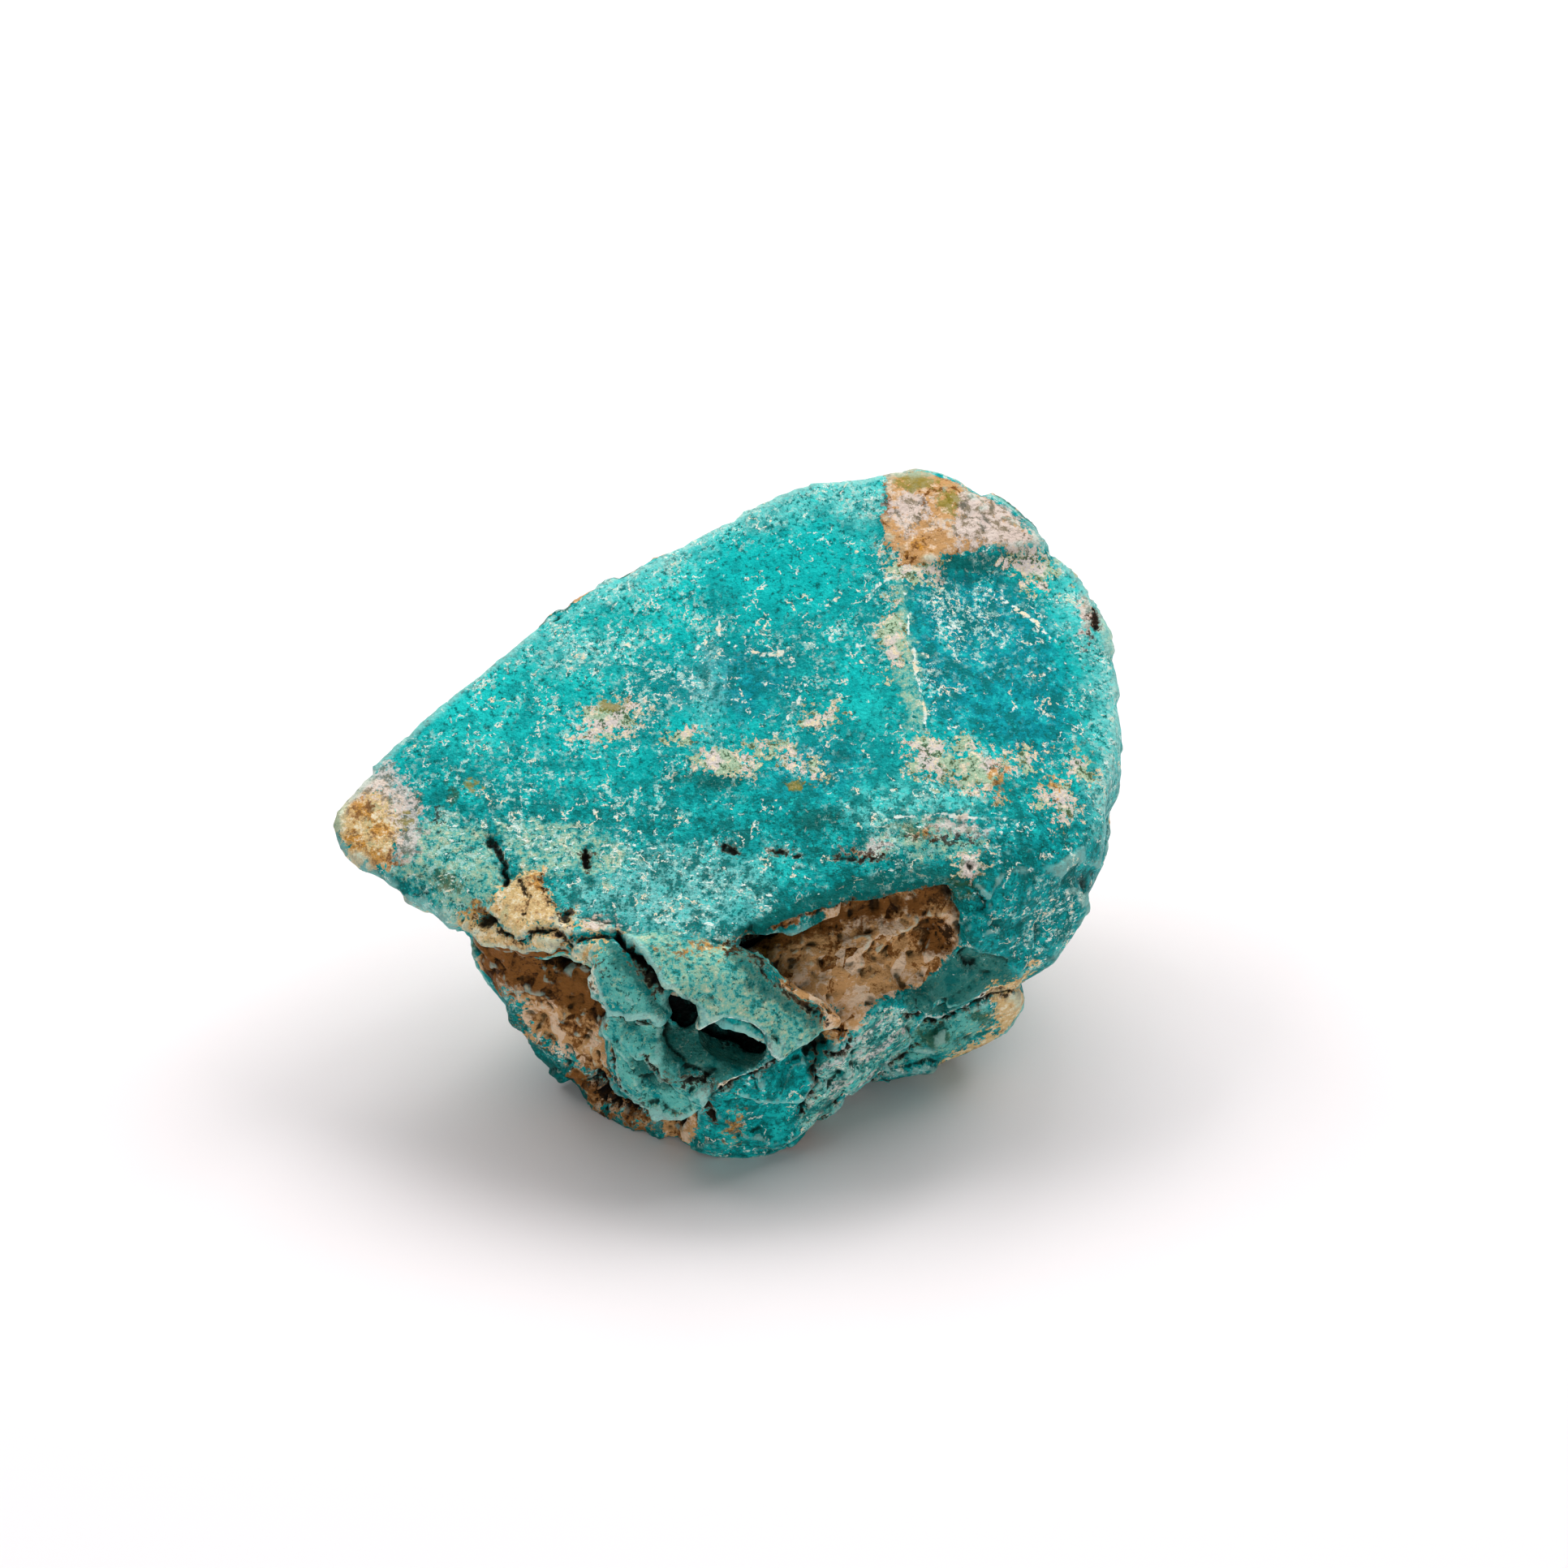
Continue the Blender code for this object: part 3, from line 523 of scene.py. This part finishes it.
def refine_front(mesh):
    """Halves the edges of the broken front's faces, as far as the picture shows them."""
    fine = bmesh.new()
    fine.from_mesh(mesh)
    fine.faces.ensure_lookup_table()
    middles = np.array([face.calc_center_median() for face in fine.faces]) / MM - TOE
    facing = np.array([face.normal for face in fine.faces]) @ AWAY < 0.25
    chosen = np.flatnonzero(facing & (inside(picture_place(middles), BROKEN_FRONT) > 0))
    edges = {edge for index in chosen for edge in fine.faces[index].edges}
    edges = sorted(edges, key=lambda edge: edge.index)
    bmesh.ops.subdivide_edges(fine, edges=edges, cuts=1, use_grid_fill=True)
    bmesh.ops.triangulate(fine, faces=[face for face in fine.faces if len(face.verts) > 4])
    fine.to_mesh(mesh)
    fine.free()


def fine_skin():
    """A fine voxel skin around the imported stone, as a new object."""
    skin = bpy.data.objects.new("amazonite_stone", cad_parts[NODE].data.copy())
    bpy.context.scene.collection.objects.link(skin)
    remesh = skin.modifiers.new("skin", "REMESH")
    remesh.mode = "VOXEL"
    remesh.voxel_size = SKIN_VOXEL * MM
    bpy.context.view_layer.update()
    mesh = bpy.data.meshes.new_from_object(skin.evaluated_get(bpy.context.evaluated_depsgraph_get()))
    skin.modifiers.clear()
    skin.data = mesh
    mesh.materials.clear()
    refine_front(mesh)
    places = relaxed(mesh, vertex_array(mesh, "co"), SMOOTH_STEPS)
    mesh.vertices.foreach_set("co", places.astype(np.float32).ravel())
    mesh.update()
    return skin


# ---- carving -------------------------------------------------------------------------------------
def region_fields(points, places, seen):
    """How deep inside each colour region every point lies, in mm; on the hidden side, noise lays them out."""
    fields = {}
    for index, (name, (outlines, cut, size)) in enumerate(REGIONS.items()):
        shapes = outlines + SPOTS.get(name, [])
        drawn = np.max([depth_inside(places, shape) for shape in shapes], axis=0)
        hidden = (grain(points, size, 3, 3.0 + 7.0 * index) - cut) * size * 0.4
        drawn = np.clip(drawn, -FIELD_LIMIT, FIELD_LIMIT)
        hidden = np.clip(hidden, -FIELD_LIMIT, FIELD_LIMIT)
        fields[name] = drawn * seen + hidden * (1 - seen)
    return fields


def laid_out_relief(points, places):
    """The height of the blocks and cracks at each point, and how far it lies outside the nearest crack."""
    relief = np.zeros(len(points))
    for shape, upper, lower, edge in BLOCKS:
        relief += fall(places, shape, upper, lower) * smooth(-edge, edge, depth_inside(places, shape))
    gap = np.full(len(points), FIELD_LIMIT)
    jagged = wandered(places, points, 0.5, 2, (21.0, 33.0), 3)
    for line, half, depth in CRACKS:
        apart = from_line(jagged, line)
        relief -= depth * (1 - smooth(half * 0.3, half * 1.6, apart))
        gap = np.minimum(gap, apart - half)
    return relief, gap


def roughen(relief, points, places, normals, seen, quartz):
    """Adds the waves, grains, pits and chips of broken stone to the relief."""
    rough = smooth(-0.3, 0.3, quartz)
    face = smooth(0.62, 0.8, normals @ CLEAVAGE)
    broken = (1 - face) * (1 - 0.5 * rough)
    front = smooth(-1.0, 1.0, inside(places, BROKEN_FRONT)) * seen
    crown = seen * (1 - smooth(*CROWN_ROWS, places[:, 1]))
    wave = grain(points, 2.6, 3, 5.0)
    fine = grain(points, 0.7, 2, 9.0)
    relief += wave * WAVES + fine * (FINE + FINE_MORE_ON_QUARTZ * rough) + lumps(points, 1.2) * LUMPS * rough
    pits = (PITS - PITS_LESS_ON_CROWN * crown) * smooth(0.2, 0.5, grain(points, 1.0, 2, 12.0))
    relief += rough * ((SHARDS - SHARDS_LESS_ON_CROWN * crown) * chips(points, 1.6, 4.0) - pits)
    large = broken * (CHIPS + CHIPS_MORE_IN_FRONT * front) * chips(points, 3.2, 2.0)
    small = broken * CHIPS_SMALL * chips(points, 1.3, 8.0)
    relief += large + face * CHIPS_FACE * chips(points, 2.2, 5.0)
    relief += small + (1 - seen) * CHIPS_HIDDEN * chips(points, 6.0, 3.0)


def bulges(mesh, points, normals):
    """How far each point stands out from its average around, in mm, for each breadth of BULGES."""
    heights = {}
    average = points
    for name, steps in BULGES.items():
        average = relaxed(mesh, average, steps)
        heights[name] = np.sum((points - average) * normals, axis=1)
    return heights


def carve(skin):
    """Gives the skin its relief, and stores what the material reads as attributes, most of them in mm."""
    mesh = skin.data
    points = vertex_array(mesh, "co") / MM - TOE
    normals = relaxed(mesh, vertex_array(mesh, "normal"), NORMAL_STEPS)
    normals /= np.linalg.norm(normals, axis=1)[:, None]
    seen = smooth(-TURN, TURN, -(normals @ AWAY))
    points += (relaxed(mesh, points, HIDDEN_STEPS) - points) * (1 - seen)[:, None]
    places = wandered(picture_place(points), points, 0.9, 3, (1.0, 40.0), 3.5)

    fields = region_fields(points, places, seen)
    white = np.min([from_line(places, line) for line in WHITE_LINES], axis=0)
    relief, gap = laid_out_relief(points, places)
    relief *= seen
    roughen(relief, points, places, normals, seen, fields["quartz"])
    relief = relaxed(mesh, relief[:, None], 1)[:, 0]
    points = points + normals * relief[:, None]
    points[:, 2] = np.maximum(points[:, 2], -TOE[2])
    mesh.vertices.foreach_set("co", ((points + TOE) * MM).astype(np.float32).ravel())

    for name, values in (fields | bulges(mesh, points, normals)).items():
        store(mesh, name, values)
    store(mesh, "gap", np.where(seen > 0.5, -gap, -FIELD_LIMIT))
    store(mesh, "line", np.where(seen > 0.5, -white, -FIELD_LIMIT))
    store(mesh, "streaky", smooth(*STREAKY_ROWS, places[:, 1]) * seen)
    mesh.shade_smooth()


# ---- node trees ----------------------------------------------------------------------------------
class Tree:
    """Short ways to add nodes to a material's tree."""

    def __init__(self, material):
        material.use_nodes = True
        self.tree = material.node_tree
        self.shader = self.tree.nodes["Principled BSDF"]

    def add(self, kind, settings, inputs):
        node = self.tree.nodes.new(kind)
        for name, value in settings.items():
            setattr(node, name, value)
        for socket, value in inputs.items():
            self.put(node.inputs[socket], value)
        return node

    def put(self, socket, value):
        if isinstance(value, bpy.types.NodeSocket):
            self.tree.links.new(value, socket)
        else:
            socket.default_value = value

    def attribute(self, name):
        return self.add("ShaderNodeAttribute", {"attribute_name": name}, {}).outputs["Fac"]

    def place(self, drawn=(1, 1, 1), turn=0.0):
        """The stone's own coordinates in mm, turned about the y axis and drawn out along each axis."""
        coordinates = self.add("ShaderNodeTexCoord", {}, {}).outputs["Object"]
        scale = tuple(MM * value for value in drawn)
        inputs = {"Vector": coordinates, "Scale": scale, "Rotation": (0.0, turn, 0.0)}
        return self.add("ShaderNodeMapping", {"vector_type": "TEXTURE"}, inputs).outputs[0]

    def noise(self, place, per_mm, detail=3.0, roughness=0.55):
        inputs = {"Vector": place, "Scale": per_mm, "Detail": detail, "Roughness": roughness}
        return self.add("ShaderNodeTexNoise", {}, inputs).outputs["Fac"]

    def warped(self, place, per_mm, by):
        """A place pushed about by up to some mm."""
        inputs = {"Vector": place, "Scale": per_mm, "Detail": 2.0}
        push = self.add("ShaderNodeTexNoise", {}, inputs).outputs["Color"]
        inputs = {0: push, 1: (by, by, by), 2: place}
        return self.add("ShaderNodeVectorMath", {"operation": "MULTIPLY_ADD"}, inputs).outputs[0]

    def cells(self, place, per_mm):
        """An even tone of 0 to 1 for each cell of a cell pattern."""
        return self.add("ShaderNodeTexVoronoi", {}, {"Vector": place, "Scale": per_mm}).outputs["Color"]

    def math(self, operation, first, second=0.0):
        return self.add("ShaderNodeMath", {"operation": operation}, {0: first, 1: second}).outputs[0]

    def product(self, first, second):
        return self.math("MULTIPLY", first, second)

    def larger(self, first, second):
        return self.math("MAXIMUM", first, second)

    def step(self, value, low, high, bottom=0.0, top=1.0):
        """Rises smoothly from bottom to top as the value goes from low to high."""
        inputs = {"Value": value, "From Min": low, "From Max": high, "To Min": bottom, "To Max": top}
        return self.add("ShaderNodeMapRange", {"interpolation_type": "SMOOTHSTEP"}, inputs).outputs[0]

    def mix(self, share, first, second, way="MIX"):
        node = self.tree.nodes.new("ShaderNodeMix")
        node.data_type = "RGBA"
        node.blend_type = way
        self.put(node.inputs[0], share)
        self.put(node.inputs[6], first)
        self.put(node.inputs[7], second)
        return node.outputs[2]

    def laid(self, colour, name, share):
        """A colour with a share of a named one laid over it."""
        return self.mix(share, colour, linear(name))

    def above(self, colour, name, tone, low, high, most=1.0):
        """A colour with a named one laid over it where a tone is above low, and fully where above high."""
        return self.laid(colour, name, self.step(tone, low, high, 0.0, most))

    def below(self, colour, name, tone, low, high, most=1.0):
        """A colour with a named one laid over it where a tone is below high, and fully where below low."""
        return self.laid(colour, name, self.step(tone, low, high, most, 0.0))


# ---- the stone's material ------------------------------------------------------------------------
class StoneTree(Tree):
    """The tree of the stone's material, with the noises and regions that several of its colours share."""

    def __init__(self, material):
        super().__init__(material)
        self.plain = self.place()
        self.ragged = self.noise(self.plain, 0.7, 3.0, 0.6)
        self.cloud = self.noise(self.plain, 0.9, 5.0, 0.7)
        self.grit = self.noise(self.plain, 2.7, 4.0, 0.75)
        self.torn = self.noise(self.plain, 2.6, 4.0, 0.7)
        self.crumbs = self.noise(self.plain, 1.8, 5.0, 0.75)
        self.specks = self.noise(self.plain, 3.2, 4.0, 0.75)
        self.streaky = self.attribute("streaky")
        self.plates = self.edge("plates", 0.6, 0.5, 0.2, 0.85)
        # The deep region's darker teal is painted shade.
        self.dark = self.edge("deep", 0.4, 0.5, 0.3, 0.75)

    def depth(self, name, ragged, torn):
        """How deep inside a region a place is, in mm, its border ragged and finely torn by so many mm."""
        coarse = self.product(self.math("SUBTRACT", self.ragged, 0.5), ragged * 3)
        fine = self.product(self.math("SUBTRACT", self.torn, 0.5), torn * 3)
        return self.math("ADD", self.attribute(name), self.math("ADD", coarse, fine))

    def edge(self, name, ragged, torn=0.6, soft=0.08, most=1.0):
        """The share, up to most, that a region covers."""
        return self.step(self.depth(name, ragged, torn), -soft, soft, 0.0, most)


def sage_tones(tree):
    mottle = tree.noise(tree.plain, 2.0, 5.0, 0.75)
    sage = tree.above(linear("deep teal"), "sea green", mottle, 0.40, 0.48)
    sage = tree.above(sage, "sage", mottle, 0.48, 0.54, 0.85)
    sage = tree.above(sage, "cream", mottle, 0.59, 0.63, 0.7)
    return tree.below(sage, "moss", mottle, 0.35, 0.40, 0.8)


def plate_tones(tree):
    plates = tree.above(linear("deep teal"), "sea green", tree.cloud, 0.38, 0.52)
    return tree.above(plates, "sage", tree.grit, 0.56, 0.62, 0.8)


def striped_tones(tree):
    stripes = tree.noise(tree.place((5, 1, 0.8), FIN_SLANT), 1.6, 4.0, 0.65)
    striped = tree.above(linear("dark teal"), "sea green", stripes, 0.38, 0.46)
    striped = tree.above(striped, "sage", stripes, 0.48, 0.54)
    return tree.above(striped, "grey", stripes, 0.50, 0.58)


def feldspar(tree):
    """Teal that drifts between deep and light, mottled down to fine grains, with its green parts, aqua and
    milky white that along the rims is painted sheen, and darker teal painted as shade in the recesses.
    """
    drift = tree.noise(tree.plain, 0.16, 3.0)
    blue = tree.edge("blue", 1.5, 0.8, 1.2, 0.75)
    teal = tree.above(linear("deep teal"), "teal", drift, 0.38, 0.62)
    teal = tree.laid(teal, "blue", blue)
    teal = tree.laid(teal, "deep teal", tree.product(tree.streaky, 0.85))
    # Along the rims, the aqua and the milky white are painted sheen.
    teal = tree.laid(teal, "aqua", tree.edge("aqua", 1.5, 1.0, 0.9, 0.6))
    teal = tree.laid(teal, "frost_and_sheen", tree.edge("frost_and_sheen", 1.5, 0.8, 1.6, 0.55))
    teal = tree.mix(tree.edge("striped", 0.6, 0.5, 0.2, 0.9), teal, striped_tones(tree))
    teal = tree.below(teal, "deep teal", tree.cloud, 0.38, 0.48, 0.6)
    teal = tree.above(teal, "aqua", tree.cloud, 0.53, 0.62, 0.4)
    patches = tree.product(tree.larger(blue, tree.streaky), tree.step(tree.cloud, 0.43, 0.51, 0.75, 0.0))
    teal = tree.laid(teal, "dark teal", patches)
    teal = tree.below(teal, "deep teal", tree.grit, 0.40, 0.50, 0.8)
    teal = tree.below(teal, "dark teal", tree.grit, 0.34, 0.46, 0.75)
    teal = tree.above(teal, "aqua", tree.grit, 0.56, 0.66, 0.6)
    teal = tree.mix(tree.plates, teal, plate_tones(tree))
    teal = tree.mix(tree.edge("sage", 1.0, 0.8, 0.4, 0.85), teal, sage_tones(tree))
    # Painted shade: darker teal in the recesses, under the lip and on the foot's underside.
    teal = tree.laid(teal, "dark teal", tree.dark)
    return tree.laid(teal, "moss", tree.edge("moss", 0.7, 1.0, 0.3, 0.75))


def fine_grains(tree):
    """Fine noise, drawn out sideways near the front edge."""
    streaks = tree.noise(tree.place((2.2, 1, 1)), 3.6, 3.0, 0.7)
    around = tree.product(tree.specks, tree.math("SUBTRACT", 1.0, tree.streaky))
    return tree.math("ADD", tree.product(streaks, tree.streaky), around)


def flecked(tree, colour, grains):
    """Pale lace, dark dots, pale specks, short crooked threads and thin lines over the feldspar."""
    crowd = tree.edge("crowd", 1.6, 1.2, 1.2)
    shut = tree.larger(tree.plates, tree.dark)
    bare = tree.larger(shut, tree.edge("clean", 1.6, 1.2, 1.0))
    gather = tree.step(tree.noise(tree.plain, 0.45, 3.0), 0.46, 0.60)
    gather = tree.product(gather, tree.math("SUBTRACT", 1.0, bare))
    lace = tree.step(tree.noise(tree.plain, 2.3, 5.0, 0.75), 0.53, 0.58, 0.0, 0.85)
    colour = tree.laid(colour, "pale", tree.product(tree.larger(crowd, gather), lace))
    dots = tree.product(tree.step(tree.specks, 0.39, 0.43, 0.85, 0.0), tree.larger(gather, tree.streaky))
    colour = tree.laid(colour, "dark teal", dots)

    level = tree.math("SUBTRACT", tree.step(gather, 0.0, 1.0, 0.72, 0.61), tree.product(crowd, 0.055))
    fleck = tree.step(tree.math("SUBTRACT", grains, level), 0.0, 0.015)
    curl = tree.math("ABSOLUTE", tree.math("SUBTRACT", tree.noise(tree.plain, 0.5, 5.0, 0.6), 0.5))
    thread = tree.product(tree.step(curl, 0.006, 0.018, 1.0, 0.0), tree.step(tree.torn, 0.46, 0.54))
    thread = tree.product(thread, tree.math("SUBTRACT", tree.step(tree.ragged, 0.48, 0.54), shut))
    line = tree.step(tree.depth("line", 0.15, 0.14), -0.13, -0.07)
    fleck = tree.larger(tree.larger(fleck, thread), line)
    return tree.mix(fleck, colour, tree.above(linear("fleck"), "cream", tree.ragged, 0.50, 0.66))


def quartz_tones(tree):
    """Angular grains, drawn out and leaning, and darker brown in the brown region: part stain, part painted
    shade under the lip and the ledge.
    """
    facets = tree.cells(tree.warped(tree.place((1, 1, 2), SHARD_SLANT), 1.2, 0.8), 1.1)
    shards = tree.math("ADD", tree.product(facets, 0.34), tree.product(tree.crumbs, 0.66))
    quartz = tree.above(linear("brown"), "tan", shards, 0.38, 0.44)
    quartz = tree.above(quartz, "rose", shards, 0.52, 0.62, 0.8)
    quartz = tree.below(quartz, "dark brown", shards, 0.31, 0.35, 0.9)
    # Darker brown: part stain, part painted shade under the lip and the ledge.
    stained_and_shaded = tree.above(linear("dark brown"), "brown", shards, 0.34, 0.50)
    return tree.mix(tree.edge("brown", 1.2, 0.8, 0.4), quartz, stained_and_shaded)


def ledge_tones(tree, depth):
    ledge = tree.above(linear("tan"), "beige", tree.crumbs, 0.40, 0.48)
    ledge = tree.above(ledge, "cream", tree.crumbs, 0.52, 0.60)
    ledge = tree.below(ledge, "sage", tree.cloud, 0.36, 0.46, 0.45)
    ledge = tree.below(ledge, "brown", tree.crumbs, 0.34, 0.40, 0.85)
    return tree.below(ledge, "gold", depth, 0.02, 0.25, 0.7)


def crust_tones(tree, depth):
    crust = tree.above(linear("sage"), "grey", tree.cloud, 0.46, 0.54)
    crust = tree.above(crust, "cream", tree.crumbs, 0.54, 0.59)
    crust = tree.below(crust, "moss", tree.crumbs, 0.41, 0.46, 0.9)
    return tree.below(crust, "gold", depth, -0.14, 0.0, 0.7)


def rust_tones(tree):
    rust = tree.above(linear("brown"), "ochre", tree.crumbs, 0.44, 0.54)
    return tree.above(rust, "cream", tree.crumbs, 0.58, 0.64)


def crusted(tree, colour):
    """The beige ledges, crusts, quartz, stains and cracks over the feldspar."""
    ledge = tree.depth("beige", 0.9, 1.3)
    crust = tree.depth("crust", 0.9, 1.6)
    dust = tree.above(linear("slate"), "grey", tree.crumbs, 0.40, 0.54)
    colour = tree.mix(tree.step(ledge, -0.1, 0.1, 0.0, 0.95), colour, ledge_tones(tree, ledge))
    colour = tree.mix(tree.step(crust, -0.24, -0.14, 0.0, 0.95), colour, crust_tones(tree, crust))
    colour = tree.mix(tree.edge("quartz", 0.4, 0.6), colour, quartz_tones(tree))
    colour = tree.mix(tree.edge("grey", 0.7, 1.4, 0.3, 0.8), colour, dust)
    colour = tree.mix(tree.edge("ochre", 0.6, 1.4, 0.3, 0.85), colour, rust_tones(tree))
    colour = tree.laid(colour, "olive", tree.edge("olive", 0.5, 0.9, 0.2, 0.8))
    # Black: part painted shadow in pits and cavities, part dark cracks and specks.
    colour = tree.laid(colour, "black", tree.edge("black", 0.3, 1.2, 0.1, 0.85))
    colour = tree.above(colour, "brown", tree.depth("gap", 0.3, 0.6), -0.14, -0.02, 0.5)
    return tree.laid(colour, "black", tree.edge("gap", 0.2, 0.5, 0.06, 0.9))


def pale_edges_and_shaded_hollows(tree, colour):
    """Pale on raised edges, part edge wear and part painted highlight, and painted shade that darkens the
    hollows, broadly and finely.
    """
    frayed = tree.product(tree.math("SUBTRACT", tree.torn, 0.5), 0.10)
    wear_highlight_and_shade = tree.math("ADD", tree.attribute("wear_highlight_and_shade"), frayed)
    # Raised edges turn pale: part edge wear, part painted highlight, kept out of the darker teal recesses.
    pale = tree.product(tree.step(wear_highlight_and_shade, 0.05, 0.14), tree.step(tree.plates, 0.0, 1.0, 0.4, 0.55))
    pale = tree.product(pale, tree.step(tree.attribute("deep"), -0.5, 0.1, 1.0, 0.0))
    colour = tree.laid(colour, "pale", pale)
    # Painted shade: the hollows darken at three breadths.
    hollows = [
        (tree.attribute("set_in"), -0.40, -0.02, 0.6),
        (wear_highlight_and_shade, -0.14, -0.03, 0.75),
        (tree.attribute("nook"), -0.07, -0.02, 0.8),
    ]
    for height, low, high, most in hollows:
        colour = tree.mix(tree.step(height, low, high, most, 0.0), colour, SHADE, "MULTIPLY")
    return colour


def stone_material():
    material = bpy.data.materials.new("raw_amazonite")
    tree = StoneTree(material)
    grains = fine_grains(tree)
    colour = flecked(tree, feldspar(tree), grains)
    colour = pale_edges_and_shaded_hollows(tree, crusted(tree, colour))
    bumps = tree.math("ADD", tree.product(grains, 0.8), tree.noise(tree.plain, 5.0, 3.0))
    bump = tree.add("ShaderNodeBump", {}, {"Strength": 0.7, "Distance": 0.0002, "Height": bumps})
    roughness = tree.step(tree.noise(tree.plain, 1.1, 3.0), 0.3, 0.7, 0.38, 0.6)
    tree.put(tree.shader.inputs["Base Color"], colour)
    tree.put(tree.shader.inputs["Normal"], bump.outputs[0])
    tree.put(tree.shader.inputs["Roughness"], roughness)
    tree.put(tree.shader.inputs["Specular IOR Level"], 0.06)
    return material


# ---- floor, light and camera ---------------------------------------------------------------------
def floor():
    mesh = bpy.data.meshes.new("floor")
    corners = [(-1, -1), (1, -1), (1, 1), (-1, 1)]
    mesh.from_pydata([(x * FLOOR_HALF, y * FLOOR_HALF, 0) for x, y in corners], [], [(0, 1, 2, 3)])
    sheet = bpy.data.objects.new("floor", mesh)
    bpy.context.scene.collection.objects.link(sheet)
    material = bpy.data.materials.new("pale_floor")
    material.use_nodes = True
    shader = material.node_tree.nodes["Principled BSDF"]
    shader.inputs["Base Color"].default_value = FLOOR_COLOUR
    shader.inputs["Roughness"].default_value = FLOOR_ROUGHNESS
    mesh.materials.append(material)


def softbox(name, place, watts):
    """A square softbox, placed in mm, that shines at the stone and isn't itself seen."""
    lamp = bpy.data.lights.new(name, "AREA")
    lamp.size = BOX_SIZE
    lamp.energy = watts
    box = bpy.data.objects.new(name, lamp)
    bpy.context.scene.collection.objects.link(box)
    box.location = Vector(place) * MM
    box.rotation_mode = "QUATERNION"
    box.rotation_quaternion = (-box.location).to_track_quat("-Z", "Y")
    box.visible_camera = False


def studio():
    """The softboxes in a pale room."""
    for name, (place, watts) in SOFTBOXES.items():
        softbox(name, place, watts)
    world = bpy.data.worlds.new("studio")
    bpy.context.scene.world = world
    world.use_nodes = True
    room = world.node_tree.nodes["Background"]
    room.inputs["Color"].default_value = ROOM_COLOUR
    room.inputs["Strength"].default_value = ROOM_LIGHT
    bpy.context.scene.view_settings.view_transform = "Standard"


def camera():
    lens = bpy.data.cameras.new("camera")
    lens.sensor_width = SENSOR
    lens.lens = FOCAL * SENSOR / PICTURE
    lens.clip_start = 0.01
    eye = bpy.data.objects.new("camera", lens)
    bpy.context.scene.collection.objects.link(eye)
    turn = Matrix((RIGHT, UP, -AWAY)).transposed().to_4x4()
    turn.translation = Vector((TOE + EYE) * MM)
    eye.matrix_world = turn
    bpy.context.scene.camera = eye


# ---- the scene -----------------------------------------------------------------------------------
noise.seed_set(NOISE_SEED)
stone = fine_skin()
carve(stone)
stone.data.materials.append(stone_material())
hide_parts(NODE)
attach(stone, "root")
floor()
studio()
camera()
